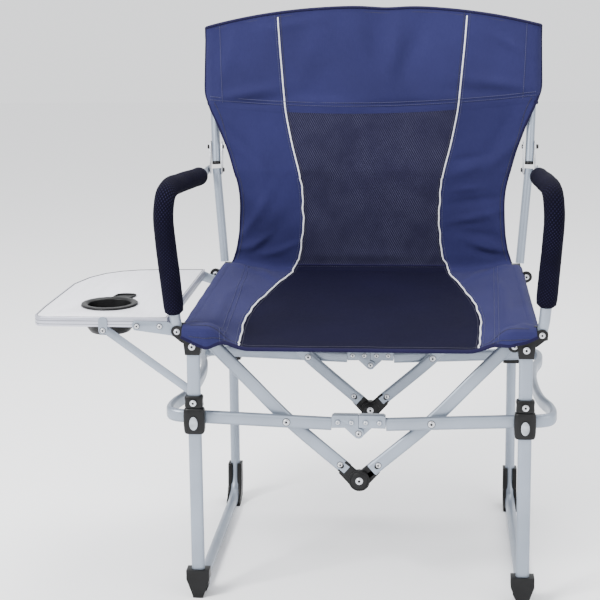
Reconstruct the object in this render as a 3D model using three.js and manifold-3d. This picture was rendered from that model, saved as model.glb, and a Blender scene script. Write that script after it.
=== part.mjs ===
// Folding camp chair with a side table, in millimetres, +Z up, front towards -Y.
// Left means -X, the side that carries the table.
import * as THREE from 'three';
import { mergeVertices } from 'three/addons/utils/BufferGeometryUtils.js';
import Module from 'manifold-3d';

const wasm = await Module();
wasm.setup();

// ---- driving dimensions -------------------------------------------------
const LEG_X = 265;            // half the spacing of the legs, centre to centre
const REAR_Y = 470;           // rear leg centre behind the front leg centre
const LEG_TOP_Z = 412;        // top of the front leg tube
const FOOT_TOP_Z = 48;        // top of the foot boot
const FLAT_W = 22;            // flat oval tube, wide way
const FLAT_T = 12;            // flat oval tube, thin way
const ROUND_R = 9;            // rear leg, seat rail and armrest tube radius
const POST_R = 8;             // back post and back tube radius
const RUNNER_Z = 12;          // height of the ground runner's centre
const EAR_X = LEG_X + 24;     // armrest ear and table hinge, from the centre
const EAR_Z = 451;
const HUB_PIVOT_Z = 319.5;    // pivot of the folding ring on its slider hubs
const CROSS_X = 117;          // rivet where a bar and a V arm cross
const CROSS_Z = 298;
const CENTRE_Z = 281;         // centre pivot of the ring halves
const KNUCKLE_Z = 196;        // centre pivot of the V arms
const ARM_TOP_X = LEG_X - 18.5;  // upper pivot of the V arm on the seat rail's tab
const ARM_TOP_Z = 432;
const FRONT_BAR_Y = 15.2;     // layers from front to back
const FRONT_ARM_Y = 28;
const REAR_BAR_Y = REAR_Y - 25.7;
const REAR_ARM_Y = REAR_Y - 39;
const ARM_T = 10;             // V arm thickness along Y
const STOP_Z = 334;           // fixed clamp above the slider hub
const BACK_AXIS_Y = REAR_Y + 22; // hinge of the folding back
const BACK_AXIS_Z = 645;
const BACK_AXIS_X = LEG_X + 28;
const BACK_TOP = [BACK_AXIS_X + 10, BACK_AXIS_Y + 52, 900];
const ARMREST_TOP_Z = 677;
const SLEEVE_R = 16.5;
const TABLE_Z = 472;          // top of the table
const TABLE_INNER_X = EAR_X + 16;
const TABLE_OUTER_X = TABLE_INNER_X + 221;
const TABLE_DEPTH = REAR_Y - 70; // the table ends ahead of the rear leg
const CUP = [TABLE_OUTER_X - 107, 92];        // centre of the cup holder
const CUP_R = 38;
const SHEET_T = 2.4;          // sling cloth as modelled
const GAP = 0.4;              // clearance between touching pieces
const LEG_SLIDE = 0.6;        // clearance of a slider hub on its leg

// ---- materials ----------------------------------------------------------
function material(color, roughness, metalness) {
  return new THREE.MeshStandardMaterial({ color, roughness, metalness });
}
const silver = () => material(0xb4bcc8, 0.35, 0.6);
const black = () => material(0x1b1b1d, 0.55, 0.0);
const steel = () => material(0xc8cacd, 0.3, 0.9);
const navy = () => material(0x2b2a55, 0.95, 0.0);
const blue = () => material(0x4a4f86, 0.95, 0.0);
const white = () => material(0xeeeef2, 0.5, 0.0);
const aluminium = () => material(0xc0c2cc, 0.35, 0.8);

// ---- solids -------------------------------------------------------------
// A geometry with only merged positions, ready to be a closed solid.
function clean(geometry) {
  const g = geometry.index ? geometry.toNonIndexed() : geometry.clone();
  g.deleteAttribute('normal');
  g.deleteAttribute('uv');
  return mergeVertices(g, 1e-4);
}

function toSolid(geometry) {
  const g = clean(geometry);
  const mesh = new wasm.Mesh({
    numProp: 3,
    vertProperties: new Float32Array(g.attributes.position.array),
    triVerts: new Uint32Array(g.index.array),
  });
  return new wasm.Manifold(mesh);
}

function fromSolid(solid) {
  const mesh = solid.getMesh();
  const g = new THREE.BufferGeometry();
  g.setAttribute('position', new THREE.BufferAttribute(new Float32Array(mesh.vertProperties), 3));
  g.setIndex(new THREE.BufferAttribute(new Uint32Array(mesh.triVerts), 1));
  return g;
}

function join(...geometries) {
  let solid = toSolid(geometries[0]);
  for (const g of geometries.slice(1)) {
    solid = solid.add(toSolid(g));
  }
  return fromSolid(solid);
}

function cut(geometry, ...tools) {
  let solid = toSolid(geometry);
  for (const t of tools) {
    solid = solid.subtract(toSolid(t));
  }
  return fromSolid(solid);
}

// The same shape on the other side of the chair.
function mirror(geometry) {
  const g = clean(geometry);
  g.applyMatrix4(new THREE.Matrix4().makeScale(-1, 1, 1));
  const index = Array.from(g.index.array);
  for (let i = 0; i < index.length; i += 3) {
    const second = index[i + 1];
    index[i + 1] = index[i + 2];
    index[i + 2] = second;
  }
  g.setIndex(index);
  return g;
}

function box(x0, x1, y0, y1, z0, z1) {
  const g = new THREE.BoxGeometry(x1 - x0, y1 - y0, z1 - z0);
  g.translate((x0 + x1) / 2, (y0 + y1) / 2, (z0 + z1) / 2);
  return g;
}

// A round pin or disc along Y.
function pinY(x, z, y0, y1, r, segments = 12) {
  const g = new THREE.CylinderGeometry(r, r, y1 - y0, segments);
  g.translate(x, (y0 + y1) / 2, z);
  return g;
}

// A round pin or disc along X.
function pinX(y, z, x0, x1, r, segments = 12) {
  const g = new THREE.CylinderGeometry(r, r, x1 - x0, segments);
  g.rotateZ(Math.PI / 2);
  g.translate((x0 + x1) / 2, y, z);
  return g;
}

// A stadium: w is the whole width along the shape's x, t the whole thickness.
function ovalPoints(w, t, n = 4) {
  const r = t / 2;
  const c = w / 2 - r;
  const points = [];
  for (let i = 0; i <= n; i += 1) {
    const a = -Math.PI / 2 + (Math.PI * i) / n;
    points.push(new THREE.Vector2(c + r * Math.cos(a), r * Math.sin(a)));
  }
  for (let i = 0; i <= n; i += 1) {
    const a = Math.PI / 2 + (Math.PI * i) / n;
    points.push(new THREE.Vector2(-c + r * Math.cos(a), r * Math.sin(a)));
  }
  return points;
}

function circlePoints(r, n = 12) {
  const points = [];
  for (let i = 0; i < n; i += 1) {
    const a = (2 * Math.PI * i) / n;
    points.push(new THREE.Vector2(r * Math.cos(a), r * Math.sin(a)));
  }
  return points;
}

// A polygon of [x, z] pairs made solid between two Y values.
function plateY(points, y0, y1, holes = []) {
  const shape = new THREE.Shape(points.map((p) => new THREE.Vector2(p[0], p[1])));
  shape.holes = holes.map((h) => new THREE.Path(h));
  const g = new THREE.ExtrudeGeometry(shape, { depth: y1 - y0, bevelEnabled: false });
  g.rotateX(Math.PI / 2);
  g.translate(0, y1, 0);
  return g;
}

// A polygon of [x, y] points made solid between two Z values.
function plateZ(points, z0, z1, holes = []) {
  const shape = new THREE.Shape(points);
  shape.holes = holes.map((h) => new THREE.Path(h));
  const g = new THREE.ExtrudeGeometry(shape, { depth: z1 - z0, bevelEnabled: false });
  g.translate(0, 0, z0);
  return g;
}

// A tube or sleeve along a smooth curve.
function sweep(points, outline, steps, hole = null) {
  const shape = new THREE.Shape(outline);
  if (hole) {
    shape.holes = [new THREE.Path(hole)];
  }
  const path = new THREE.CatmullRomCurve3(points.map((p) => new THREE.Vector3(...p)), false, 'centripetal');
  return new THREE.ExtrudeGeometry(shape, { steps, extrudePath: path, bevelEnabled: false });
}

// A straight round tube between two points.
function rod(a, b, r, segments = 12) {
  const from = new THREE.Vector3(...a);
  const to = new THREE.Vector3(...b);
  const g = new THREE.CylinderGeometry(r, r, from.distanceTo(to), segments);
  const turn = new THREE.Quaternion();
  turn.setFromUnitVectors(new THREE.Vector3(0, 1, 0), to.clone().sub(from).normalize());
  g.applyQuaternion(turn);
  g.translate((a[0] + b[0]) / 2, (a[1] + b[1]) / 2, (a[2] + b[2]) / 2);
  return g;
}

// A flat oval bar in an XZ plane, thin along Y, from point a to point b.
function flatBar(a, b, w, y, t) {
  const length = Math.hypot(b[0] - a[0], b[1] - a[1]);
  const shape = new THREE.Shape(ovalPoints(w, t, 4));
  const g = new THREE.ExtrudeGeometry(shape, { depth: length, bevelEnabled: false });
  // the bar first points along +Z with its wide way along X
  g.rotateY(Math.atan2(b[0] - a[0], b[1] - a[1]));
  g.translate(a[0], y, a[1]);
  return g;
}

// A point at distance d from a towards b.
function along(a, b, d) {
  const length = Math.hypot(b[0] - a[0], b[1] - a[1]);
  return [a[0] + ((b[0] - a[0]) * d) / length, a[1] + ((b[1] - a[1]) * d) / length];
}

// A cloth panel: point(u, v) gives the surface, thickened along one direction.
function sheet(point, nu, nv, thick) {
  const positions = [];
  const index = [];
  const row = nu + 1;
  for (const side of [0, 1]) {
    for (let j = 0; j <= nv; j += 1) {
      for (let i = 0; i <= nu; i += 1) {
        const p = point(i / nu, j / nv);
        positions.push(p[0] + side * thick[0], p[1] + side * thick[1], p[2] + side * thick[2]);
      }
    }
  }
  const top = row * (nv + 1);
  const at = (i, j, side) => side * top + j * row + i;
  const quad = (a, b, c, d) => index.push(a, b, c, a, c, d);
  for (let j = 0; j < nv; j += 1) {
    for (let i = 0; i < nu; i += 1) {
      quad(at(i, j, 1), at(i + 1, j, 1), at(i + 1, j + 1, 1), at(i, j + 1, 1));
      quad(at(i, j, 0), at(i, j + 1, 0), at(i + 1, j + 1, 0), at(i + 1, j, 0));
    }
  }
  for (let i = 0; i < nu; i += 1) {
    quad(at(i, 0, 0), at(i + 1, 0, 0), at(i + 1, 0, 1), at(i, 0, 1));
    quad(at(i + 1, nv, 0), at(i, nv, 0), at(i, nv, 1), at(i + 1, nv, 1));
  }
  for (let j = 0; j < nv; j += 1) {
    quad(at(0, j + 1, 0), at(0, j, 0), at(0, j, 1), at(0, j + 1, 1));
    quad(at(nu, j, 0), at(nu, j + 1, 0), at(nu, j + 1, 1), at(nu, j, 1));
  }
  const g = new THREE.BufferGeometry();
  g.setAttribute('position', new THREE.BufferAttribute(new Float32Array(positions), 3));
  g.setIndex(index);
  return g;
}

// ---- side frame ---------------------------------------------------------
function frontLeg() {
  const g = plateZ(ovalPoints(FLAT_W, FLAT_T), FOOT_TOP_Z + GAP, LEG_TOP_Z);
  g.translate(-LEG_X, 0, 0);
  return g;
}

// The rear leg turns at the floor and comes forward to the front foot.
function rearLegTube(radius) {
  const x = -LEG_X;
  const y = REAR_Y;
  const points = [
    [x, y, 438], [x, y, 300], [x, y, 160], [x, y, 112], [x, y, 88], [x, y - 1, 64], [x, y - 5, 42],
    [x, y - 17, 22], [x, y - 40, RUNNER_Z], [x, 330, RUNNER_Z], [x, 170, RUNNER_Z], [x, 24, RUNNER_Z],
  ];
  return sweep(points, circlePoints(radius, 10), 40);
}

function foot() {
  const outline = [
    [-19, FOOT_TOP_Z], [19, FOOT_TOP_Z], [19, 32], [11, 10], [8, 0], [-8, 0], [-11, 10], [-19, 32],
  ];
  const boot = plateY(outline.map((p) => [p[0] - LEG_X, p[1]]), -11, 12);
  const collar = rod([-LEG_X, 8, 15], [-LEG_X, 23, 15], 15, 14);
  return join(boot, collar);
}

// A shoe round the bend of the rear leg, open in front where the bend shows.
function bendGuard() {
  const y = REAR_Y;
  const side = [
    [y + 12, 74], [y + 12, 34], [y + 2, 8], [y - 22, 0], [y - 44, 0],
    [y - 44, 8], [y - 30, 16], [y - 16, 34], [y - 11, 74],
  ];
  const shape = new THREE.Shape(side.map((p) => new THREE.Vector2(p[0], p[1])));
  const g = new THREE.ExtrudeGeometry(shape, { depth: 26, bevelEnabled: false });
  // shape x becomes Y, shape y becomes Z, depth becomes X
  g.applyMatrix4(new THREE.Matrix4().set(0, 0, 1, -LEG_X - 13, 1, 0, 0, 0, 0, 1, 0, 0, 0, 0, 0, 1));
  const groove = rearLegTube(ROUND_R + 0.6);
  const front = box(-LEG_X - 5, -LEG_X + 5, REAR_Y - 60, REAR_Y - 6, 12, 90);
  return cut(g, groove, front);
}

function frontHub() {
  const x = -LEG_X;
  const body = plateY([
    [x - 12, LEG_TOP_Z + GAP], [x + 12, LEG_TOP_Z + GAP], [x + 14, 432], [x + 2, 453], [x - 14, 455],
    [x - 14, 430],
  ], -10, 11);
  const ear = plateY([
    [x - 12, 434], [-EAR_X - 10, 440], [-EAR_X - 10, 462], [x - 12, 462],
  ], 3.6, 11);
  const rivet = pinY(x, 427, -12, -8, 5);
  return join(body, ear, rivet);
}

function rearHub() {
  const x = -LEG_X;
  const body = box(x - 14, x + 12, REAR_Y - 10, REAR_Y + 12, 438 + GAP, 470);
  const rivet = pinX(REAR_Y, 452, x - 16.5, x - 12, 5);
  return join(body, rivet);
}

// The rail runs in the seat hem and carries the tab of the V arms and the table's rear hinge.
function seatRail() {
  const rail = rod([-LEG_X - 11, 11.6, 446], [-LEG_X - 5, REAR_Y - 10.5, 462], ROUND_R);
  const frontTab = box(-LEG_X - 15, -ARM_TOP_X + 9, FRONT_ARM_Y + ARM_T / 2 + GAP, FRONT_ARM_Y + 9, 422, 449 - ROUND_R);
  const rearTab = box(-LEG_X - 13, -ARM_TOP_X + 9, REAR_ARM_Y - 9, REAR_ARM_Y - ARM_T / 2 - GAP, 422, 462 - ROUND_R);
  const tableTab = box(-EAR_X - 8, -LEG_X - 3, TABLE_DEPTH + 1, TABLE_DEPTH + 4.5, 443, 462);
  return join(rail, frontTab, rearTab, tableTab);
}

function legHole(clearance) {
  return ovalPoints(FLAT_W + 2 * clearance, FLAT_T + 2 * clearance);
}

function stopClamp() {
  const outline = [
    new THREE.Vector2(-15, -10), new THREE.Vector2(-12, -12), new THREE.Vector2(12, -12),
    new THREE.Vector2(15, -10), new THREE.Vector2(15, 7.8), new THREE.Vector2(-15, 7.8),
  ];
  const g = plateZ(outline, STOP_Z - 9.5, STOP_Z + 10.5, [legHole(0.3)]);
  g.translate(-LEG_X, 0, 0);
  return join(g, pinY(-LEG_X, STOP_Z, -14, -10, 5));
}

function armrestTube() {
  const tube = sweep([
    [-LEG_X - 27, -3, 468], [-LEG_X - 32, -12, 540], [-LEG_X - 36, -22, 600], [-LEG_X - 38, -24, 640],
    [-LEG_X - 37, -10, 668], [-LEG_X - 36, 24, ARMREST_TOP_Z], [-LEG_X - 36, 120, 672],
    [-LEG_X - 37, REAR_Y - 150, 655], [-LEG_X - 41, REAR_Y - 70, 649], [-LEG_X - 49.5, REAR_Y - 15, 645.5],
  ], circlePoints(ROUND_R, 10), 22);
  const tab = box(-EAR_X - 8, -EAR_X + 8, -2.9, 3.1, 442, 474);
  const rivet = pinY(-EAR_X, EAR_Z, -8.5, -2, 4.5);
  const rear = box(-LEG_X - 46, -LEG_X - 42, REAR_Y - 24, BACK_AXIS_Y + 10, 637, 653);
  const rearRivet = pinX(BACK_AXIS_Y, BACK_AXIS_Z, -LEG_X - 48.5, -LEG_X - 41, 4.5);
  return join(tube, tab, rivet, rear, rearRivet);
}

function armrestSleeve() {
  return sweep([
    [-LEG_X - 29.2, -6.6, 497], [-LEG_X - 32, -12, 540], [-LEG_X - 36, -22, 600], [-LEG_X - 38, -24, 640],
    [-LEG_X - 37, -10, 668], [-LEG_X - 36, 24, ARMREST_TOP_Z], [-LEG_X - 36, 120, 672],
    [-LEG_X - 37, REAR_Y - 150, 655], [-LEG_X - 39.5, REAR_Y - 90, 650.5],
  ], circlePoints(SLEEVE_R, 12), 18, circlePoints(SLEEVE_R - 3.4, 10));
}

function backPost() {
  return rod([-LEG_X - 13, REAR_Y + 2, 472.5], [-BACK_AXIS_X, BACK_AXIS_Y, BACK_AXIS_Z + 3], POST_R);
}

// ---- folding back -------------------------------------------------------
function backTube() {
  const from = new THREE.Vector3(-BACK_AXIS_X, BACK_AXIS_Y, BACK_AXIS_Z);
  const to = new THREE.Vector3(-BACK_TOP[0], BACK_TOP[1], BACK_TOP[2]);
  const lift = to.clone().sub(from).normalize();
  const start = from.clone().addScaledVector(lift, 16.5);
  const tube = rod(start.toArray(), BACK_TOP.map((v, i) => (i === 0 ? -v : v)), POST_R);
  return [from, lift, tube];
}

function tubePlug() {
  const [from, lift] = backTube();
  const a = from.clone().addScaledVector(lift, 10.5).toArray();
  const b = from.clone().addScaledVector(lift, 16.1).toArray();
  return rod(a, b, POST_R);
}

// One hinge plate beside the back tube, from the pivot to the upper rivet.
function hingePlate(side) {
  const x0 = side === 'outer' ? -BACK_AXIS_X - 12.4 : -BACK_AXIS_X + 9.4;
  const [from, lift] = backTube();
  const shape = new THREE.Shape(ovalPoints(64, 17, 6));
  // the plate's long way turns to the tube's lean
  const lean = Math.atan2(lift.y, lift.z);
  const geometry = new THREE.ExtrudeGeometry(shape, { depth: 2, bevelEnabled: false });
  geometry.applyMatrix4(new THREE.Matrix4().set(0, 0, 1, 0, 1, 0, 0, 0, 0, 1, 0, 0, 0, 0, 0, 1));
  geometry.rotateX(Math.PI / 2 - lean);
  const mid = from.clone().addScaledVector(lift, 23);
  geometry.translate(x0, mid.y, mid.z);
  const head = (d, r) => {
    const c = from.clone().addScaledVector(lift, d);
    const out = side === 'outer' ? x0 - 1.2 : x0 + 1;
    return pinX(c.y, c.z, out, out + 2.2, r);
  };
  if (side === 'outer') {
    return join(geometry, head(44, 3.4));
  }
  return join(geometry, head(0, 4.4), head(44, 3.4));
}

// ---- folding ring -------------------------------------------------------
// Each half is one tube: front bar, side run with a waist, rear bar.
function ringTube() {
  const droop = Math.atan2(10, 250);
  const f = FRONT_BAR_Y;
  const r = REAR_BAR_Y;
  const out = (d) => -LEG_X - d;
  const points = [
    [-44, f, 0], [-150, f, 0], [out(3), f, 0], [out(27), f, 0], [out(41), f + 7, 0], [out(47), f + 24, 0],
    [out(46), f + 60, 0], [out(34), f + 114.8, 0], [out(28), f + 214.8, 0], [out(34), r - 114.3, 0],
    [out(46), r - 60, 0], [out(47), r - 24, 0], [out(41), r - 7, 0], [out(27), r, 0], [out(3), r, 0],
    [-150, r, 0], [-44, r, 0],
  ];
  // the wide way of the oval stands up
  const tube = sweep(points, ovalPoints(FLAT_W, FLAT_T, 3), 32);
  tube.translate(CROSS_X, 0, 0);
  tube.rotateY(droop);
  tube.translate(-CROSS_X, 0, CROSS_Z);
  const lug = (y0, y1) => {
    const top = plateY([
      [-LEG_X - 9, 300], [-LEG_X + 9, 300], [-LEG_X + 8, HUB_PIVOT_Z], [-LEG_X - 8, HUB_PIVOT_Z],
    ], y0, y1);
    return join(top, pinY(-LEG_X, HUB_PIVOT_Z, y0, y1, 8));
  };
  const frontRivet = pinY(-CROSS_X, CROSS_Z, f - 8, FRONT_ARM_Y - ARM_T / 2 - GAP, 5);
  const rearRivet = pinY(-CROSS_X, CROSS_Z, REAR_ARM_Y + ARM_T / 2 + GAP, r + 8, 5);
  return join(tube, lug(f - 6, f - 2), lug(r + 2, r + 6), frontRivet, rearRivet);
}

// Centre bracket half. Tabs are the Y ranges of its leaves round the centre pivot.
function centreBracket(y, tabs, face) {
  const block = plateY([
    [-43.4, 290], [-43.4, 309], [-40, 311], [-0.3, 311], [-0.3, 291], [-12, 290.7],
  ], y - 8, y + 8);
  const leaves = tabs.map(([y0, y1]) => join(
    plateY([[-26, 294], [-0.3, 294], [-0.3, CENTRE_Z], [-6, CENTRE_Z - 6]], y0, y1),
    pinY(0, CENTRE_Z, y0, y1, 8.5),
  ));
  const rivets = [-33.5, -11.5].map((x) => pinY(x, 299.5, Math.min(y + face * 6, y + face * 10),
    Math.max(y + face * 6, y + face * 10), 4.6));
  return join(block, ...leaves, ...rivets);
}

function sliderBody(centreY, y0, y1, w, z0, z1, hole) {
  const outline = [
    new THREE.Vector2(-w, y0 - centreY + 2), new THREE.Vector2(-w + 3, y0 - centreY),
    new THREE.Vector2(w - 3, y0 - centreY), new THREE.Vector2(w, y0 - centreY + 2),
    new THREE.Vector2(w, y1 - centreY), new THREE.Vector2(-w, y1 - centreY),
  ];
  const g = plateZ(outline, z0, z1, [hole]);
  g.translate(-LEG_X, centreY, 0);
  return g;
}

function frontSlider() {
  return sliderBody(0, -12.5, 8.1, 17.5, 281, 324, legHole(LEG_SLIDE));
}

function rearSlider() {
  return sliderBody(REAR_Y, REAR_BAR_Y + 7.2, REAR_Y + 15, 16, 284, 330, circlePoints(ROUND_R + LEG_SLIDE + 0.4, 12));
}

function sliderButton() {
  const g = new THREE.CylinderGeometry(1, 1, 3, 16);
  g.scale(6.8, 1, 11.3);
  g.translate(-LEG_X, -14.4, 300);
  return g;
}

// ---- V arms -------------------------------------------------------------
const ARM_UPPER = 186;
function vArm(y) {
  const top = [-ARM_TOP_X, ARM_TOP_Z];
  const cross = [-CROSS_X, CROSS_Z];
  const low = [0, KNUCKLE_Z];
  const upper = flatBar(along(cross, top, -3), along(cross, top, ARM_UPPER), FLAT_W, y, ARM_T);
  const lower = flatBar(along(cross, low, -3), along(low, cross, 42.6), FLAT_W, y, ARM_T);
  return join(upper, lower, pinY(cross[0], cross[1], y - ARM_T / 2, y + ARM_T / 2, FLAT_W / 2 - 0.6));
}

function knuckle(y, tab, face) {
  const low = [0, KNUCKLE_Z];
  const cross = [-CROSS_X, CROSS_Z];
  const wing = flatBar(along(low, cross, 34), along(low, cross, 41.1), 20, y, ARM_T);
  const leafY = (tab[0] + tab[1]) / 2;
  const leafT = tab[1] - tab[0];
  const leaf = cut(flatBar(low, along(low, cross, 38), 22, leafY, leafT));
  const disc = pinY(0, KNUCKLE_Z, tab[0], tab[1], 17, 18);
  const y0 = y + face * 4;
  const y1 = y + face * 6.6;
  const c = along(low, cross, 38);
  const rivet = pinY(c[0], c[1], Math.min(y0, y1), Math.max(y0, y1), 4);
  return join(wing, leaf, disc, rivet);
}

// ---- table --------------------------------------------------------------
const TABLE_OUTLINE = [
  [-TABLE_INNER_X, -3], [17 - TABLE_OUTER_X, -3], [7 - TABLE_OUTER_X, 1], [1 - TABLE_OUTER_X, 12],
  [-TABLE_OUTER_X, 70], [6 - TABLE_OUTER_X, TABLE_DEPTH - 142], [21 - TABLE_OUTER_X, TABLE_DEPTH - 85],
  [42 - TABLE_OUTER_X, TABLE_DEPTH - 48], [70 - TABLE_OUTER_X, TABLE_DEPTH - 24],
  [101 - TABLE_OUTER_X, TABLE_DEPTH - 12], [146 - TABLE_OUTER_X, TABLE_DEPTH - 6],
  [-TABLE_INNER_X, TABLE_DEPTH - 3],
];

// A convex outline moved inward by d.
function inset(points, d) {
  const n = points.length;
  const out = [];
  for (let i = 0; i < n; i += 1) {
    const a = points[(i + n - 1) % n];
    const b = points[i];
    const c = points[(i + 1) % n];
    const u = new THREE.Vector2(b[0] - a[0], b[1] - a[1]).normalize();
    const v = new THREE.Vector2(c[0] - b[0], c[1] - b[1]).normalize();
    const nu = new THREE.Vector2(u.y, -u.x);
    const nv = new THREE.Vector2(v.y, -v.x);
    const m = nu.clone().add(nv);
    m.multiplyScalar(d / m.dot(nu));
    out.push(new THREE.Vector2(b[0] + m.x, b[1] + m.y));
  }
  return out;
}

function cupHole(r) {
  const points = circlePoints(r, 28);
  return points.map((p) => new THREE.Vector2(p.x - CUP[0], p.y + CUP[1]));
}

function tableTop() {
  return plateZ(inset(TABLE_OUTLINE, 3.4), TABLE_Z - 9, TABLE_Z - 0.6, [cupHole(CUP_R + 1.2)]);
}

function tableEdge() {
  const outer = TABLE_OUTLINE.map((p) => new THREE.Vector2(...p));
  const inner = plateZ(inset(TABLE_OUTLINE, 3), TABLE_Z - 20, TABLE_Z + 4);
  return cut(plateZ(outer, TABLE_Z - 16, TABLE_Z), inner);
}

function cupHolder() {
  const r = CUP_R;
  const profile = [
    [0, 427], [r - 5, 427], [r, 434], [r + 0.8, 445], [r + 0.8, TABLE_Z - 0.1], [r + 10, TABLE_Z - 0.1],
    [r + 9, TABLE_Z + 3.2], [r + 2, TABLE_Z + 3.6], [r - 2, TABLE_Z + 1], [r - 2, 440], [r - 5, 431], [0, 430],
  ].map((p) => new THREE.Vector2(p[0], p[1]));
  const g = new THREE.LatheGeometry(profile, 20);
  g.rotateX(Math.PI / 2);
  g.translate(-CUP[0], CUP[1], 0);
  return g;
}

function tableBracketFront() {
  const plate = plateY([
    [-EAR_X - 73, 458], [-EAR_X - 70, 452], [-EAR_X, EAR_Z - 8.5], [-EAR_X, EAR_Z + 8.5], [-EAR_X - 16, 466],
    [-EAR_X - 70, 467], [-EAR_X - 73, 462],
  ], -6.6, -3.4);
  const disc = pinY(-EAR_X, EAR_Z, -6.6, -3.4, 8.5);
  const hole = pinY(-EAR_X, EAR_Z, -9, 0, 5);
  const rivets = [-EAR_X - 65, -EAR_X - 28].map((x) => pinY(x, 459, -8.4, -5, 3.4));
  return join(cut(join(plate, disc), hole), ...rivets);
}

function tableBracketRear() {
  const y0 = TABLE_DEPTH - 2.7;
  const plate = plateY([
    [-EAR_X - 51, 458], [-EAR_X, EAR_Z - 8.5], [-EAR_X, EAR_Z + 8.5], [-EAR_X - 16, 467], [-EAR_X - 51, 467],
  ], y0, y0 + 3);
  return join(plate, pinY(-EAR_X, EAR_Z, y0, y0 + 3, 8.5));
}

// The strut hangs from a pin under the table and hooks behind the fixed clamp.
const STRUT_TOP = [-410, 449];
const STRUT_LOW = [-LEG_X - 8, 348.5];
function tableStrut() {
  const bar = flatBar(STRUT_TOP, STRUT_LOW, 14, 10.5, 3.4);
  const ends = [STRUT_TOP, STRUT_LOW].map((p) => pinY(p[0], p[1], 8.8, 12.2, 7));
  return join(bar, ...ends, pinY(STRUT_TOP[0], STRUT_TOP[1], 6, 14, 3));
}

// ---- sling --------------------------------------------------------------
function mixTable(rows, t) {
  for (let i = 1; i < rows.length; i += 1) {
    if (t <= rows[i][0]) {
      const k = (t - rows[i - 1][0]) / (rows[i][0] - rows[i - 1][0]);
      return rows[i - 1][1] + k * (rows[i][1] - rows[i - 1][1]);
    }
  }
  return rows[rows.length - 1][1];
}

// Half width of the back cloth at a height.
const BACK_HALF = [
  [470, LEG_X - 7], [510, LEG_X - 15], [584, LEG_X - 19], [614, LEG_X - 16], [645, LEG_X - 7],
  [698, LEG_X + 11], [735, LEG_X + 32], [768, LEG_X + 50], [912, LEG_X + 50],
];

function backSurface(z) {
  const below = mixTable([[470, REAR_Y - 3], [540, REAR_Y + 2], [645, BACK_AXIS_Y - 13]], z);
  const lean = (BACK_TOP[1] - BACK_AXIS_Y) / (BACK_TOP[2] - BACK_AXIS_Z);
  const above = BACK_AXIS_Y - 13 + (z - BACK_AXIS_Z) * lean;
  return z < BACK_AXIS_Z ? below : above;
}

function seatSling() {
  const y0 = 15;
  const y1 = REAR_Y - 12;
  return sheet((u, v) => {
    const x = (LEG_X + 14) * (2 * u - 1);
    const y = y0 + (y1 - y0) * v;
    const a = Math.abs(x);
    const edge = 447.6 + ROUND_R + 15 * v;
    const mid = 425 + 21 * v + 12 * v * v;
    const k = Math.min(1, Math.max(0, (a - LEG_X + 75) / 74));
    return [x, y, mid + (edge - mid) * k * k * (3 - 2 * k)];
  }, 18, 6, [0, 0, SHEET_T]);
}

function backSlingLower() {
  return sheet((u, v) => {
    const z = 472 + (BACK_AXIS_Z - 0.3 - 472) * v;
    const half = mixTable(BACK_HALF, z);
    return [-half + 2 * half * u, backSurface(z) + SHEET_T, z];
  }, 10, 5, [0, -SHEET_T, 0]);
}

function backSlingUpper() {
  return sheet((u, v) => {
    const s = 2 * u - 1;
    const top = 908 + 40 * (1 - Math.pow(Math.abs(s), 2.4));
    const z = BACK_AXIS_Z + 0.3 + (top - BACK_AXIS_Z - 0.3) * v;
    const half = mixTable(BACK_HALF, Math.min(z, 912));
    return [half * s, backSurface(z) + SHEET_T, z];
  }, 14, 8, [0, -SHEET_T, 0]);
}

// ---- assembly -----------------------------------------------------------
const group = new THREE.Group();

function add(name, geometry, look) {
  const g = clean(geometry);
  g.computeVertexNormals();
  const mesh = new THREE.Mesh(g, look);
  mesh.name = name;
  group.add(mesh);
}

// A piece and its mirror image on the other side.
function addPair(name, geometry, look) {
  add(`${name}_l`, geometry, look());
  add(`${name}_r`, mirror(geometry), look());
}

addPair('front_leg', frontLeg(), silver);
addPair('rear_leg', rearLegTube(ROUND_R), silver);
addPair('foot', foot(), black);
addPair('bend_guard', bendGuard(), black);
addPair('front_hub', frontHub(), black);
addPair('rear_hub', rearHub(), black);
addPair('seat_rail', seatRail(), silver);
addPair('stop_clamp', stopClamp(), black);
addPair('armrest_tube', armrestTube(), silver);
addPair('armrest_sleeve', armrestSleeve(), navy);
addPair('back_post', backPost(), silver);
addPair('back_tube', backTube()[2], silver);
addPair('tube_plug', tubePlug(), black);
addPair('hinge_plate_outer', hingePlate('outer'), steel);
addPair('hinge_plate_inner', hingePlate('inner'), steel);
addPair('front_slider', frontSlider(), black);
addPair('rear_slider', rearSlider(), black);
addPair('slider_button', sliderButton(), silver);
addPair('ring_tube', ringTube(), silver);
addPair('front_arm', vArm(FRONT_ARM_Y), silver);
addPair('rear_arm', vArm(REAR_ARM_Y), silver);

// centre brackets and knuckles interleave, so the halves differ
const FB = FRONT_BAR_Y;
const RB = REAR_BAR_Y;
add('front_bracket_l', centreBracket(FB, [[FB - 8, FB - 4.2], [FB + 4.2, FB + 8]], -1), silver());
add('front_bracket_r', mirror(centreBracket(FB, [[FB - 3.8, FB + 3.8]], -1)), silver());
add('rear_bracket_l', centreBracket(RB, [[RB - 8, RB - 4.2], [RB + 4.2, RB + 8]], 1), silver());
add('rear_bracket_r', mirror(centreBracket(RB, [[RB - 3.8, RB + 3.8]], 1)), silver());
const FA = FRONT_ARM_Y;
const RA = REAR_ARM_Y;
add('front_knuckle_l', knuckle(FA, [FA - 5, FA - 0.3], -1), black());
add('front_knuckle_r', mirror(knuckle(FA, [FA + 0.3, FA + 5], -1)), black());
add('rear_knuckle_l', knuckle(RA, [RA + 0.3, RA + 5], -1), black());
add('rear_knuckle_r', mirror(knuckle(RA, [RA - 5, RA - 0.3], -1)), black());

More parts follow.
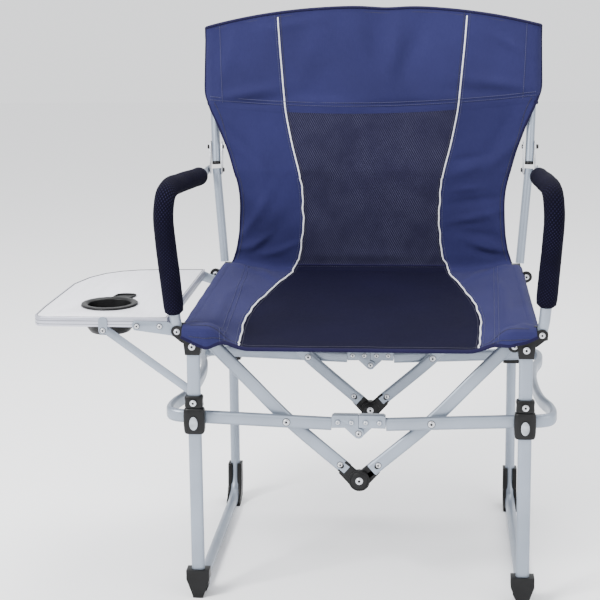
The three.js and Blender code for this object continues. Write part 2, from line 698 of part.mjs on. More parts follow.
add('table_top', tableTop(), white());
add('table_edge', tableEdge(), aluminium());
add('cup_holder', cupHolder(), black());
add('table_bracket_front', tableBracketFront(), steel());
add('table_bracket_rear', tableBracketRear(), steel());
add('table_strut', tableStrut(), silver());

add('seat_sling', seatSling(), navy());
add('back_sling_lower', backSlingLower(), navy());
add('back_sling_upper', backSlingUpper(), blue());

// The origin is on the floor, under the middle of the whole outline.
const bounds = new THREE.Box3().setFromObject(group);
const ORIGIN = [(bounds.min.x + bounds.max.x) / 2, (bounds.min.y + bounds.max.y) / 2, bounds.min.z];
group.position.set(-ORIGIN[0], -ORIGIN[1], -ORIGIN[2]);
group.updateMatrixWorld(true);

export default group;
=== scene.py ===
"""Looks of the folding camp chair.

Lengths in the helper W are millimetres from the chair's own centre line, front leg plane and floor.
"""
import math

import bpy
import bmesh
import numpy as np
from mathutils import Matrix, Vector, geometry


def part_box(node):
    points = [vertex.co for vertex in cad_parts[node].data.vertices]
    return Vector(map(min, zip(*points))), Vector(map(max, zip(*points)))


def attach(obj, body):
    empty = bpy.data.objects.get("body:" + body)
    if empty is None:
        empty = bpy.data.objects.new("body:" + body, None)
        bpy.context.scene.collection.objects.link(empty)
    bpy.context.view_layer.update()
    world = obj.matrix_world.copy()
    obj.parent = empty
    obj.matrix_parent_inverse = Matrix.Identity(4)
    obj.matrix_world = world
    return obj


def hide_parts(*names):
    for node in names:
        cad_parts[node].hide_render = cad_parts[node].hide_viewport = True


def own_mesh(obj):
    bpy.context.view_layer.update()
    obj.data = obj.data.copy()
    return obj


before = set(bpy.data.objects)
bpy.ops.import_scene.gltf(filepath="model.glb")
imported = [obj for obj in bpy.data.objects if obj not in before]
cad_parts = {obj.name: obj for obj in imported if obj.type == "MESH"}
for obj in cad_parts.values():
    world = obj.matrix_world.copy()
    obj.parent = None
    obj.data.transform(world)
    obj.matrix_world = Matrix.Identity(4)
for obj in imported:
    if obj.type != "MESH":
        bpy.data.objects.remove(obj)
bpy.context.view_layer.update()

# ---- the chair's own axes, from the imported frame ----
LEG_L, LEG_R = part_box("front_leg_l"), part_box("front_leg_r")
CX = (LEG_L[0].x + LEG_R[1].x) / 2
Y0 = (LEG_L[0].y + LEG_L[1].y) / 2
SIDES = (("l", -1), ("r", 1))

LEG_X, REAR_LEG_Y = 265, 470
BAR_FRONT_Y, BAR_REAR_Y = 15.2, 444.3
CROSS_X, CROSS_Z = 117, 298
KNUCKLE_Z = 196
ARM_TOP_X, ARM_TOP_Z = 246.5, 432
PIVOT_Y, PIVOT_Z = 492, 645


def W(x, y, z):
    return Vector((CX + x / 1000, Y0 + y / 1000, z / 1000))


def ease(t):
    t = min(1.0, max(0.0, t))
    return t * t * (3 - 2 * t)


def table_at(rows, t):
    """Value at t, on straight lines between (t, value) rows."""
    ts = [r[0] for r in rows]
    vs = [r[1] for r in rows]
    return float(np.interp(t, ts, vs))


def smooth_table(rows, n=400):
    """A function through (t, value) rows, with their corners rounded."""
    ts = np.array([r[0] for r in rows], float)
    vs = np.array([r[1] for r in rows], float)
    grid = np.linspace(ts[0], ts[-1], n)
    v = np.interp(grid, ts, vs)
    k = n // 18
    pad = np.concatenate([2 * v[0] - v[k:0:-1], v, 2 * v[-1] - v[-2:-k - 2:-1]])
    w = np.hanning(2 * k + 1)
    v = np.convolve(pad, w / w.sum(), mode="valid")
    return lambda t: np.interp(t, grid, v)


# ---- materials ----
class Look:
    """A node material on the Principled shader, built step by step."""

    def __init__(self, name, color, rough, metal=0.0):
        self.m = bpy.data.materials.new(name)
        self.m.use_nodes = True
        self.nt = self.m.node_tree
        self.p = self.nt.nodes["Principled BSDF"]
        self.p.inputs["Metallic"].default_value = metal
        self.p.inputs["Roughness"].default_value = rough
        self.color = color
        self.p.inputs["Base Color"].default_value = (*color, 1)
        self.coord = self.nt.nodes.new("ShaderNodeTexCoord")
        self.height = None

    def node(self, kind, **values):
        n = self.nt.nodes.new(kind)
        for k, v in values.items():
            if hasattr(n, k):
                setattr(n, k, v)
            else:
                n.inputs[k].default_value = v
        return n

    def link(self, a, b):
        self.nt.links.new(a, b)

    def math(self, op, a, b=0.0, clamp=False):
        n = self.node("ShaderNodeMath", operation=op, use_clamp=clamp)
        for socket, v in zip(n.inputs, (a, b)):
            if isinstance(v, (int, float)):
                socket.default_value = v
            else:
                self.link(v, socket)
        return n.outputs[0]

    def noise(self, scale, detail=3.0, stretch=None, kind="Object"):
        n = self.node("ShaderNodeTexNoise", Scale=scale, Detail=detail)
        src = self.coord.outputs[kind]
        if stretch:
            m = self.node("ShaderNodeMapping", Scale=stretch)
            self.link(src, m.inputs["Vector"])
            src = m.outputs["Vector"]
        self.link(src, n.inputs["Vector"])
        return n.outputs["Fac"]

    def uv(self):
        s = self.node("ShaderNodeSeparateXYZ")
        self.link(self.coord.outputs["UV"], s.inputs[0])
        return s.outputs["X"], s.outputs["Y"]

    def ripple(self, value, period):
        """0 to 1 and back along a length in metres."""
        w = self.math("SINE", self.math("MULTIPLY", value, 2 * math.pi / period))
        return self.math("ADD", self.math("MULTIPLY", w, 0.5), 0.5)

    def ramp(self, fac, stops):
        r = self.node("ShaderNodeValToRGB")
        e = r.color_ramp.elements
        for i, (pos, c) in enumerate(stops):
            el = e[i] if i < 2 else e.new(pos)
            el.position = pos
            el.color = (*c, 1) if len(c) == 3 else c
        self.link(fac, r.inputs["Fac"])
        return r.outputs["Color"]

    def tone(self, fac, color, low, dark, high, light):
        return self.ramp(fac, [(low, shade(color, dark)), (high, shade(color, light))])

    def step(self, fac, low, high):
        return self.ramp(fac, [(low, (0, 0, 0)), (high, (1, 1, 1))])

    def fix(self, name, value):
        self.p.inputs[name].default_value = value

    def mix(self, fac, a, b):
        n = self.node("ShaderNodeMix", data_type="RGBA")
        for socket, v in ((n.inputs["Factor"], fac), (n.inputs[6], a), (n.inputs[7], b)):
            if isinstance(v, (int, float)):
                socket.default_value = v
            elif isinstance(v, tuple):
                socket.default_value = (*v, 1)
            else:
                self.link(v, socket)
        return n.outputs[2]

    def base(self, color_socket):
        self.link(color_socket, self.p.inputs["Base Color"])

    def rough(self, fac, low, high):
        n = self.node("ShaderNodeMapRange")
        n.inputs["To Min"].default_value = low
        n.inputs["To Max"].default_value = high
        self.link(fac, n.inputs["Value"])
        self.link(n.outputs["Result"], self.p.inputs["Roughness"])

    def bump(self, height, distance, strength=1.0):
        n = self.node("ShaderNodeBump", Distance=distance, Strength=strength)
        self.link(height, n.inputs["Height"])
        if self.height:
            self.link(self.height, n.inputs["Normal"])
        self.height = n.outputs["Normal"]
        self.link(self.height, self.p.inputs["Normal"])


def shade(c, k):
    return tuple(min(1.0, v * k) for v in c)


def painted(name, color, rough=0.36, metal=0.55):
    """Satin painted tube: faint cloudiness, fine orange peel, light rub marks."""
    L = Look(name, color, rough, metal)
    cloud = L.noise(9, 4)
    rub = L.noise(38, 5, stretch=(1.0, 1.0, 0.25))
    c = L.tone(cloud, color, 0.3, 0.9, 0.7, 1.1)
    marks = L.step(rub, 0.66, 0.78)
    L.base(L.mix(L.math("MULTIPLY", marks, 0.25), c, shade(color, 0.62)))
    L.rough(rub, rough - 0.08, rough + 0.16)
    L.bump(L.noise(700, 2), 0.00004)
    L.fix("Coat Weight", 0.15)
    L.fix("Coat Roughness", 0.25)
    return L.m


def moulded(name, color, rough=0.5):
    """Moulded plastic: fine spark texture and slightly polished high spots."""
    L = Look(name, color, rough)
    cloud = L.noise(55, 4)
    L.base(L.tone(cloud, color, 0.35, 0.75, 0.75, 1.7))
    L.rough(cloud, rough - 0.14, rough + 0.12)
    L.bump(L.noise(1400, 2), 0.00006)
    L.bump(cloud, 0.00015)
    L.fix("Specular IOR Level", 0.22)
    return L.m


def bright(name, color, rough=0.28):
    """Pressed zinc-plated steel with brushed streaks."""
    L = Look(name, color, rough, 0.95)
    streak = L.noise(160, 4, stretch=(1.0, 0.15, 1.0))
    L.base(L.tone(streak, color, 0.3, 0.8, 0.75, 1.15))
    L.rough(streak, rough - 0.08, rough + 0.18)
    L.bump(streak, 0.00005)
    return L.m


def woven(name, color, thread=0.0013, contrast=0.22, sheen=0.03):
    """Plain-weave polyester: two thread directions, slubs and soft fading."""
    L = Look(name, color, 0.82)
    u, v = L.uv()
    a = L.ripple(u, thread)
    b = L.ripple(v, thread)
    weave = L.math("MULTIPLY", a, b)
    slub = L.noise(420, 2, stretch=(1.0, 1.0, 0.2))
    fade = L.noise(7, 4)
    tone = L.tone(fade, color, 0.3, 0.86, 0.72, 1.14)
    tone = L.mix(L.math("MULTIPLY", weave, contrast), tone, shade(color, 1.9))
    L.base(L.mix(L.math("MULTIPLY", slub, 0.18), tone, shade(color, 0.45)))
    L.rough(slub, 0.68, 0.95)
    L.bump(weave, 0.00022)
    L.bump(L.noise(60, 3), 0.0006)
    L.fix("Sheen Weight", sheen)
    L.fix("Sheen Roughness", 0.45)
    L.fix("Specular IOR Level", 0.08)
    return L.m


def meshcloth(name, color, fleck, period=0.0052, amount=0.55, slant=0.55, ratio=0.62):
    """Knitted mesh: a lattice of small holes and short light flecks on a slant."""
    L = Look(name, color, 0.9)
    u, v = L.uv()
    p = L.math("ADD", u, L.math("MULTIPLY", v, slant))
    q = L.math("SUBTRACT", v, L.math("MULTIPLY", u, slant))
    a = L.ripple(p, period)
    b = L.ripple(q, period * ratio)
    cell = L.math("MULTIPLY", a, b)
    patch = L.noise(26, 4)
    light = L.math("MULTIPLY", L.step(cell, 0.5, 0.85),
                   L.ramp(patch, [(0.36, (0.15,) * 3), (0.62, (1, 1, 1))]))
    hole = L.ramp(cell, [(0.02, (1, 1, 1)), (0.16, (0, 0, 0))])
    tone = L.tone(L.noise(6, 4), color, 0.3, 0.85, 0.7, 1.15)
    tone = L.mix(L.math("MULTIPLY", hole, 0.75), tone, shade(color, 0.25))
    L.base(L.mix(L.math("MULTIPLY", light, amount), tone, fleck))
    L.rough(patch, 0.8, 0.97)
    L.bump(cell, 0.0005)
    L.fix("Sheen Weight", 0.0)
    L.fix("Specular IOR Level", 0.06)
    return L.m


def laminate(name, color):
    """White table board with faint grain and small scuffs."""
    L = Look(name, color, 0.42)
    grain = L.noise(24, 5, stretch=(6.0, 0.4, 1.0))
    scuff = L.noise(70, 5, stretch=(0.4, 3.0, 1.0))
    c = L.tone(grain, color, 0.3, 0.955, 0.7, 1.03)
    mark = L.step(scuff, 0.68, 0.8)
    L.base(L.mix(L.math("MULTIPLY", mark, 0.12), c, shade(color, 0.72)))
    L.rough(scuff, 0.32, 0.6)
    L.bump(L.noise(500, 3), 0.00005)
    return L.m


def grooved(name, color, heights):
    """The table's extruded band: brushed metal with long grooves at these heights, in metres."""
    L = Look(name, color, 0.36, 0.7)
    streak = L.noise(120, 4, stretch=(0.2, 0.2, 6.0))
    z = L.node("ShaderNodeSeparateXYZ")
    L.link(L.coord.outputs["Object"], z.inputs[0])
    cut = None
    for h in heights:
        near = L.math("ABSOLUTE", L.math("SUBTRACT", z.outputs["Z"], h))
        g = L.math("LESS_THAN", near, 0.00055)
        cut = g if cut is None else L.math("MAXIMUM", cut, g)
    tone = L.tone(streak, color, 0.3, 0.88, 0.75, 1.1)
    L.base(L.mix(L.math("MULTIPLY", cut, 0.8), tone, shade(color, 0.22)))
    L.rough(streak, 0.28, 0.5)
    L.bump(streak, 0.00004)
    return L.m


SILVER = painted("frame_silver", (0.235, 0.270, 0.325), 0.36, 0.55)
BLACK = moulded("black_plastic", (0.0034, 0.0034, 0.0038), 0.42)
# Dark moulding: a real dark fill in the table's joint line and the cup notch, and painted shade and painted contact
# shadow on the rivets.
DARK_FILL_AND_SHADE = moulded("dark_fill_and_painted_shade", (0.012, 0.012, 0.013), 0.5)
GREY = moulded("grey_button", (0.30, 0.32, 0.35), 0.4)
STEEL = bright("bright_steel", (0.55, 0.56, 0.59))
BLUE = woven("fabric_blue", (0.0165, 0.0170, 0.0640))
SIDE = woven("fabric_side", (0.0150, 0.0155, 0.0600))
NAVY = woven("fabric_navy", (0.0030, 0.0026, 0.0135), contrast=0.12, sheen=0.0)
BINDING = woven("binding_navy", (0.0080, 0.0065, 0.030), thread=0.0009)
PIPING = woven("piping_white", (0.62, 0.62, 0.66), thread=0.0011, contrast=0.1)
MESH = meshcloth("mesh_navy", (0.0165, 0.0155, 0.0380), (0.110, 0.112, 0.18), period=0.0040)
KNIT = meshcloth("sleeve_fabric", (0.0024, 0.0020, 0.0085), (0.026, 0.025, 0.066), amount=0.5, slant=0.85,
                 ratio=1.0)
WHITE = laminate("table_white", (0.70, 0.70, 0.75))
ALU = grooved("table_aluminium", (0.46, 0.47, 0.54), (0.4600, 0.4655))


# ---- mesh makers ----
def add_object(name, data):
    o = bpy.data.objects.new(name, data)
    bpy.context.scene.collection.objects.link(o)
    return o


def mesh_object(name, verts, faces, mats, index=None, uvs=None, angle=50):
    me = bpy.data.meshes.new(name)
    me.from_pydata([tuple(v) for v in verts], [], faces)
    for m in (mats if isinstance(mats, (list, tuple)) else [mats]):
        me.materials.append(m)
    if index is not None:
        me.polygons.foreach_set("material_index", index)
    if uvs is not None:
        layer = me.uv_layers.new(name="UVMap")
        flat = [c for f in uvs for uv in f for c in uv]
        layer.data.foreach_set("uv", flat)
    me.polygons.foreach_set("use_smooth", [True] * len(me.polygons))
    me.update()
    me.set_sharp_from_angle(angle=math.radians(angle))
    return add_object(name, me)


def resample(points, step):
    """Centripetal Catmull-Rom through the points, about step metres apart."""
    P = [Vector(p) for p in points]
    if len(P) == 2:
        n = max(1, int((P[1] - P[0]).length / step))
        return [P[0].lerp(P[1], i / n) for i in range(n + 1)]
    out = []
    ext = [2 * P[0] - P[1]] + P + [2 * P[-1] - P[-2]]
    for i in range(1, len(ext) - 2):
        p0, p1, p2, p3 = ext[i - 1:i + 3]
        t0 = 0.0
        t1 = t0 + max(1e-6, (p1 - p0).length) ** 0.5
        t2 = t1 + max(1e-6, (p2 - p1).length) ** 0.5
        t3 = t2 + max(1e-6, (p3 - p2).length) ** 0.5
        n = max(2, int((p2 - p1).length / step))
        for k in range(n):
            t = t1 + (t2 - t1) * k / n
            a1 = (t1 - t) / (t1 - t0) * p0 + (t - t0) / (t1 - t0) * p1
            a2 = (t2 - t) / (t2 - t1) * p1 + (t - t1) / (t2 - t1) * p2
            a3 = (t3 - t) / (t3 - t2) * p2 + (t - t2) / (t3 - t2) * p3
            b1 = (t2 - t) / (t2 - t0) * a1 + (t - t0) / (t2 - t0) * a2
            b2 = (t3 - t) / (t3 - t1) * a2 + (t - t1) / (t3 - t1) * a3
            out.append((t2 - t) / (t2 - t1) * b1 + (t - t1) / (t2 - t1) * b2)
    out.append(P[-1])
    return out


def ring_profile(r, n=20):
    return [(r * math.cos(2 * math.pi * i / n), r * math.sin(2 * math.pi * i / n)) for i in range(n)]


def oval_profile(w, t, n=7):
    """Flat oval: w along the side direction, t along the other."""
    r, c = t / 2, w / 2 - t / 2
    pts = [(c + r * math.cos(a), r * math.sin(a)) for a in np.linspace(-math.pi / 2, math.pi / 2, n)]
    return pts + [(-c + r * math.cos(a), r * math.sin(a)) for a in np.linspace(math.pi / 2, 1.5 * math.pi, n)]


def sweep(name, points, profile, mat, wide=None, swell=None, step=0.006, cap=0.0, raw=False):
    """A tube along points. wide is the direction that the profile's x keeps to; swell(s, i) scales the profile."""
    path = [Vector(p) for p in points] if raw else resample(points, step)
    n, m = len(path), len(profile)
    lengths = [0.0]
    for i in range(1, n):
        lengths.append(lengths[-1] + (path[i] - path[i - 1]).length)
    total = lengths[-1]
    verts, rows = [], []
    side = None
    for i in range(n):
        t = (path[min(n - 1, i + 1)] - path[max(0, i - 1)]).normalized()
        if wide is not None:
            a = Vector(wide) - t * t.dot(Vector(wide))
        elif side is None:
            a = t.orthogonal()
        else:
            a = side - t * t.dot(side)
        a.normalize()
        side = a
        b = t.cross(a)
        for j, (px, py) in enumerate(profile):
            k = swell(lengths[i], total, j / m) if swell else 1.0
            kx, ky = k if isinstance(k, tuple) else (k, k)
            verts.append(path[i] + (a * px * kx + b * py * ky) / 1000)
    faces, uvs = [], []
    girth = sum(math.dist(profile[j], profile[(j + 1) % m]) for j in range(m)) / 1000
    for i in range(n - 1):
        for j in range(m):
            k = (j + 1) % m
            faces.append((i * m + j, i * m + k, (i + 1) * m + k, (i + 1) * m + j))
            u0, u1 = girth * j / m, girth * (j + 1) / m
            uvs.append(((u0, lengths[i]), (u1, lengths[i]), (u1, lengths[i + 1]), (u0, lengths[i + 1])))
    for i, flip in ((0, True), (n - 1, False)):
        c = len(verts)
        t = (path[1] - path[0]).normalized() if i == 0 else (path[-1] - path[-2]).normalized()
        verts.append(path[i] + t * (-cap if i == 0 else cap))
        for j in range(m):
            k = (j + 1) % m
            faces.append((c, i * m + k, i * m + j) if flip else (c, i * m + j, i * m + k))
            uvs.append(((0, 0), (0.001, 0), (0, 0.001)))
    return mesh_object(name, verts, faces, mat, uvs=uvs)


def tube(name, points, r, mat, **kw):
    return sweep(name, points, ring_profile(r, kw.pop("n", 20)), mat, **kw)


def refine(node, mat, width=0.9, segments=2, angle=42):
    """The CAD piece with its edges eased, as a moulding or pressing has."""
    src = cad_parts[node]
    me = src.data.copy()
    bm = bmesh.new()
    bm.from_mesh(me)
    bmesh.ops.remove_doubles(bm, verts=bm.verts, dist=2e-5)
    bmesh.ops.dissolve_limit(bm, angle_limit=math.radians(1.5), verts=bm.verts, edges=bm.edges)
    bm.to_mesh(me)
    bm.free()
    o = add_object("fine_" + node, me)
    b = o.modifiers.new("edge", "BEVEL")
    b.width, b.segments, b.limit_method = width / 1000, segments, "ANGLE"
    b.angle_limit = math.radians(angle)
    b.use_clamp_overlap = True
    dg = bpy.context.evaluated_depsgraph_get()
    out = bpy.data.meshes.new_from_object(o.evaluated_get(dg))
    o.modifiers.clear()
    o.data = out
    out.materials.clear()
    out.materials.append(mat)
    out.polygons.foreach_set("material_index", [0] * len(out.polygons))
    out.polygons.foreach_set("use_smooth", [True] * len(out.polygons))
    out.set_sharp_from_angle(angle=math.radians(46))
    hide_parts(node)
    return o


def turned(name, profile, centre, axis, mat, n=24, index=None):
    """A lathe piece: profile of (radius, height) in mm along axis from centre. index gives each strip's material."""
    axis = Vector(axis).normalized()
    a = axis.orthogonal().normalized()
    b = axis.cross(a)
    verts, faces = [], []
    m = len(profile)
    for i in range(n):
        t = 2 * math.pi * i / n
        d = a * math.cos(t) + b * math.sin(t)
        for r, h in profile:
            verts.append(Vector(centre) + d * r / 1000 + axis * h / 1000)
    for i in range(n):
        k = (i + 1) % n
        for j in range(m - 1):
            faces.append((i * m + j, k * m + j, k * m + j + 1, i * m + j + 1))
    o = mesh_object(name, verts, faces, mat, index=index * n if index else None)
    bm = bmesh.new()
    bm.from_mesh(o.data)
    bmesh.ops.remove_doubles(bm, verts=bm.verts, dist=1e-6)
    bmesh.ops.recalc_face_normals(bm, faces=bm.faces)
    bm.to_mesh(o.data)
    bm.free()
    return o


COUNT = {"rivet": 0}


def rivet(at, axis, r, body, hollow=True):
    """A rivet head: a domed ring with a pit, or a plain dome, on a thin washer. On the hollow kind the dark outer
    ring is a painted contact shadow, and the dark lining of the pit is painted shade.
    """
    COUNT["rivet"] += 1
    if hollow:
        prof = [(r * 1.42, -0.3), (r * 1.42, 0.15), (r * 1.2, 0.15), (r * 1.2, 0.6), (r, 0.7), (r * 0.93, 1.5),
                (r * 0.72, 1.9), (r * 0.45, 1.6), (r * 0.38, 0.2), (0, 0.1)]
    else:
        prof = [(r * 1.2, -0.3), (r * 1.2, 0.4), (r, 0.5), (r * 0.86, 1.3), (r * 0.5, 1.9), (0, 2.1)]
    # On the hollow kind the outer ring and the pit's lining take the dark material: a painted contact shadow round
    # the head and painted shade inside the pit.
    strips = [0] * (len(prof) - 1)
    if hollow:
        strips[:2] = strips[-2:] = [1, 1]
    o = turned(f"rivet_{COUNT['rivet']:02d}", prof, at, axis, [STEEL, DARK_FILL_AND_SHADE], 20, index=strips)
    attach(o, body)
    return o


FRAME, PLASTIC, CLOTH = "frame_silver", "black_plastic", "fabric_blue"


def put(o, body, slot, *nodes):
    """Rides a piece on its body and hides the CAD nodes that it stands for; slot, the name of its finish, is not
    used.
    """
    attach(o, body)
    if nodes:
        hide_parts(*nodes)
    return o


def fine(node, mat, body, slot, *edge):
    """An eased CAD piece on its body."""
    put(refine(node, mat, *edge), body, slot)


def stitched(name, color):
    """Thread seen as separate stitches along a line."""
    L = Look(name, color, 0.6)
    u, v = L.uv()
    gap = L.ramp(L.ripple(v, 0.0042), [(0.28, shade(color, 0.30)), (0.42, color)])
    L.base(gap)
    L.bump(L.ripple(v, 0.0042), 0.0004)
    L.rough(L.noise(300, 2), 0.45, 0.8)
    return L.m


STITCH = stitched("stitch_blue", (0.024, 0.026, 0.095))
# Navy thread. Beside each piping its line also serves as a painted shadow line.
STITCH_DARK = stitched("stitch_navy", (0.0075, 0.0070, 0.030))


# ---- the sling as one surface ----
LEAN = (544 - PIVOT_Y) / (900 - PIVOT_Z)
HALF = smooth_table([(455, 262), (470, 257), (488, 253), (512, 249), (548, 247), (584, 246), (614, 249), (645, 257),
                     (675, 267), (705, 279), (735, 296), (760, 312), (780, 316), (905, 315), (960, 315)])
PIPE_BACK = smooth_table([(440, 150), (461, 141), (480, 136), (510, 130), (545, 127), (600, 128), (640, 134),
                          (690, 148), (750, 161), (800, 166), (870, 173), (960, 180)])
PIPE_SEAT = smooth_table([(-20, 190), (30, 193), (90, 197), (160, 198), (230, 193), (300, 182), (360, 169),
                          (410, 157),
                          (445, 147), (480, 141)])


def rail(y):
    t = min(1.0, max(0.0, (y - 11.6) / 448))
    return 276 - 6 * t, 446 + 16 * t


def seat_z(x, y):
    v = min(1.05, max(0.0, (y - 15) / 443))
    mid = 425 + 21 * v + 12 * v * v
    edge = rail(y)[1] + 10.8
    k = min(1.0, max(0.0, (abs(x) - 178) / 90))
    k = 0.45 * k + 0.55 * ease(k)
    return mid + (edge - mid) * k


def back_y(z):
    if z < PIVOT_Z:
        return table_at([(440, 465), (470, 468), (540, 472), (PIVOT_Z, 479)], z)
    return 479 + (z - PIVOT_Z) * LEAN


def top_z(x):
    a = abs(x) / 313
    return 911 + 36 * (1 - a ** 2.3) - 3.5 * math.exp(-((x - 25) / 38) ** 2)


def seam_z(x):
    return 750 + 18 * (abs(x) / 300) ** 2 + x * 0.012


def fold(x, y, cx, cy, angle, width, length, height):
    """A soft ridge of a given place, direction, width, length and height."""
    c, s = math.cos(math.radians(angle)), math.sin(math.radians(angle))
    dx, dy = x - cx, y - cy
    a, b = dx * c + dy * s, -dx * s + dy * c
    return 1.7 * height * math.exp(-(b / width) ** 2 - (a / length) ** 2)


def folds(x, y, table):
    return sum(fold(x, y, *p) for p in table)


def corner(x):
    """0 on the seat to 1 on the corner over the front hub."""
    return ease((abs(x) - 206) / 38)


BACK_FOLDS = [
    # x, z, direction, width, length, height
    (-268, 700, -38, 11, 60, 3.0), (-240, 690, -48, 9, 55, -2.4), (-215, 560, 60, 10, 60, 2.2),
    (-190, 520, 50, 12, 55, -2.2),
    (-205, 640, 100, 13, 70, 1.8), (222, 560, -62, 11, 60, 2.4), (196, 590, 8, 8, 42, -2.6),
    (200, 560, 14, 8, 46, 2.4),
    (188, 650, 20, 9, 45, 2.2), (196, 528, -10, 8, 40, -2.2), (262, 690, 42, 10, 55, 2.6),
    (240, 715, 60, 12, 50, -1.8),
    (-236, 500, 24, 9, 40, 2.6), (238, 498, -32, 8, 34, 3.4), (222, 488, -20, 7, 36, -3.0),
    (-200, 486, 12, 9, 50, 2.2),
    (-208, 512, 38, 5, 30, 2.6), (-160, 500, 22, 5, 30, 2.0), (214, 500, -24, 4.5, 24, 3.0),
    (228, 489, -14, 4.5, 20, -2.4),
    (-232, 540, 55, 6, 34, 2.0), (176, 545, 4, 5, 26, -1.8), (182, 612, 6, 5, 26, 1.8), (178, 668, 10, 6, 28, -1.8),
    (0, 480, 0, 12, 150, 1.6), (-60, 600, 80, 40, 90, 1.2), (70, 560, 95, 45, 100, -1.2),
]
TOP_FOLDS = [
    (8, 880, 96, 15, 55, -4.5), (42, 868, 84, 12, 50, 4.2), (76, 872, 70, 13, 52, -3.2), (-35, 895, 100, 18, 45, 3.0),
    (-215, 775, 4, 7, 60, -3.0), (-230, 790, 10, 9, 60, 2.8), (215, 790, -4, 8, 60, -2.8), (232, 806, -8, 9, 56, 2.6),
    (-120, 850, 70, 22, 60, 1.8), (118, 830, 108, 22, 60, 2.0), (275, 850, 112, 10, 60, 2.6),
    (-275, 840, 74, 12, 60, 2.0),
    (-90, 772, -4, 9, 60, 2.2), (60, 768, 2, 8, 70, -2.0), (250, 880, 150, 8, 40, 2.2), (-150, 915, 10, 9, 50, 1.6),
]
SEAT_FOLDS = [
    # x, y, direction, width, length, height
    (-262, 18, 40, 8, 30, 3.4), (-248, 34, 55, 7, 34, -3.0), (-236, 10, 25, 8, 30, 2.4), (262, 20, -42, 8, 30, 3.4),
    (246, 34, -58, 7, 34, -3.0), (-240, 150, 92, 9, 80, 2.0), (240, 170, 88, 9, 80, 2.2), (-228, 300, 80, 9, 60, 1.6),
    (232, 330, 98, 9, 60, 1.8), (0, 60, 0, 34, 120, -2.2), (60, 250, 84, 40, 120, -2.0), (-70, 330, 96, 40, 100, 1.6),
    (190, 420, 60, 9, 40, 2.6), (-190, 425, -58, 9, 40, 2.6), (232, 440, 30, 8, 34, 3.2),
    (-236, 438, -26, 8, 34, 2.8),
]


def cloth_noise(x, y):
    """Low waviness, the same each run."""
    v = math.sin(x * 0.021 + 1.3) * math.sin(y * 0.017 + 0.4) + 0.6 * math.sin(x * 0.047 - y * 0.031 + 2.1)
    v += 0.35 * math.sin(x * 0.093 + y * 0.071)
    return 0.55 * v


def columns(pipe, half):
    """Row of x from the left edge to the right edge, with the piping on fixed columns."""
    inner = np.linspace(-1, 1, 37) * pipe
    outer = pipe + (half - pipe) * np.linspace(0, 1, 23)[1:]
    return np.concatenate([-outer[::-1], inner, outer])


PIPE_COLS = (22, 22 + 36)


# height of the front corner's lower edge by distance from the centre line, for each side
EDGE_L = smooth_table([(195, 424), (215, 422), (246, 427), (262, 434), (276, 441), (290, 448)])
EDGE_R = smooth_table([(195, 424), (215, 425), (235, 433), (250, 438), (265, 441), (281, 449), (290, 453)])
FLAP = [(0.0, -14.0, None), (0.38, -14.2, 447), (0.58, -12.0, 456.6), (0.78, -4.0, 460.0), (1.0, 12.0, 460.4)]


def front_corner(x, t):
    """Depth and height of the cloth's first strip, which hangs over the hub at the corner."""
    a = abs(x)
    c = corner(x)
    low = float(EDGE_L(min(a, 290)) if x < 0 else EDGE_R(min(a, 290)))
    ts = [p[0] for p in FLAP]
    zs = [low if p[2] is None else max(low + 2, p[2]) for p in FLAP]
    yf, zf = float(np.interp(t, ts, [p[1] for p in FLAP])), float(np.interp(t, ts, zs))
    ym = -6 + 18 * t
    zm = seat_z(x, ym) - 1.6 * math.exp(-(t * 2) ** 2)
    return ym + (yf - ym) * c, zm + (zf - zm) * c


def lower_rows():
    rows, kinds = [], []
    for t in np.linspace(0, 1, 15)[:-1]:
        row = []
        for x in columns(float(PIPE_SEAT(-6 + 18 * t)), 281.5 - 1.5 * t):
            y, z = front_corner(x, t)
            g = 1.3 * math.sin(x * 0.19 + t * 2) * math.exp(-((abs(x) - 250) / 26) ** 2)
            f = folds(x, y, SEAT_FOLDS) * (0.25 + 0.75 * ease(t)) + cloth_noise(x, y) * t
            row.append((x, y - abs(g) * (1 - t), z + f * (1 - 0.7 * corner(x))))
        rows.append(row)
        kinds.append("seat")
    for v in np.linspace(0, 1, 56):
        y = 12 + 440 * v
        pipe, half = float(PIPE_SEAT(y)), rail(y)[0] + 4.0 * (1 - ease(v * 7)) - 6 * ease((y - 405) / 47)
        row = []
        for x in columns(pipe, half):
            f = folds(x, y, SEAT_FOLDS) + cloth_noise(x, y)
            f *= 0.3 + 0.7 * ease((half - abs(x)) / 16)
            z = seat_z(x, y)
            z += (max(z, 460.4) - z) * corner(x) * (1 - ease(v * 11))
            row.append((x, y, z + f * (1 - 0.7 * corner(x) * (1 - ease(v * 11)))))
        rows.append(row)
        kinds.append("seat")
    for a in np.linspace(0, math.pi / 2, 9)[1:]:
        row = []
        pipe = 148 - 8 * a / (math.pi / 2)
        for x in columns(pipe, 264 - 4.6 * a):
            zs = seat_z(x, 452)
            row.append((x, 452 + 16 * math.sin(a), zs + 16 * (1 - math.cos(a))))
        rows.append(row)
        kinds.append("seat" if a < 1.0 else "back")
    for v in np.linspace(0, 1, 40)[1:]:
        row = []
        zm = 474 + 171 * v
        pipe = float(PIPE_BACK(zm))
        for x in columns(pipe, float(HALF(zm))):
            z0 = seat_z(min(abs(x), 264), 452) + 16
            z = z0 + (PIVOT_Z - z0) * v
            f = folds(x, z, BACK_FOLDS) + cloth_noise(x, z)
            f *= min(1.0, v * 11)
            row.append((x, back_y(z) - f, z))
        rows.append(row)
        kinds.append("back")
    return np.array(rows), kinds


def tube_x(z):
    return 293 + (z - PIVOT_Z) * 10 / 255


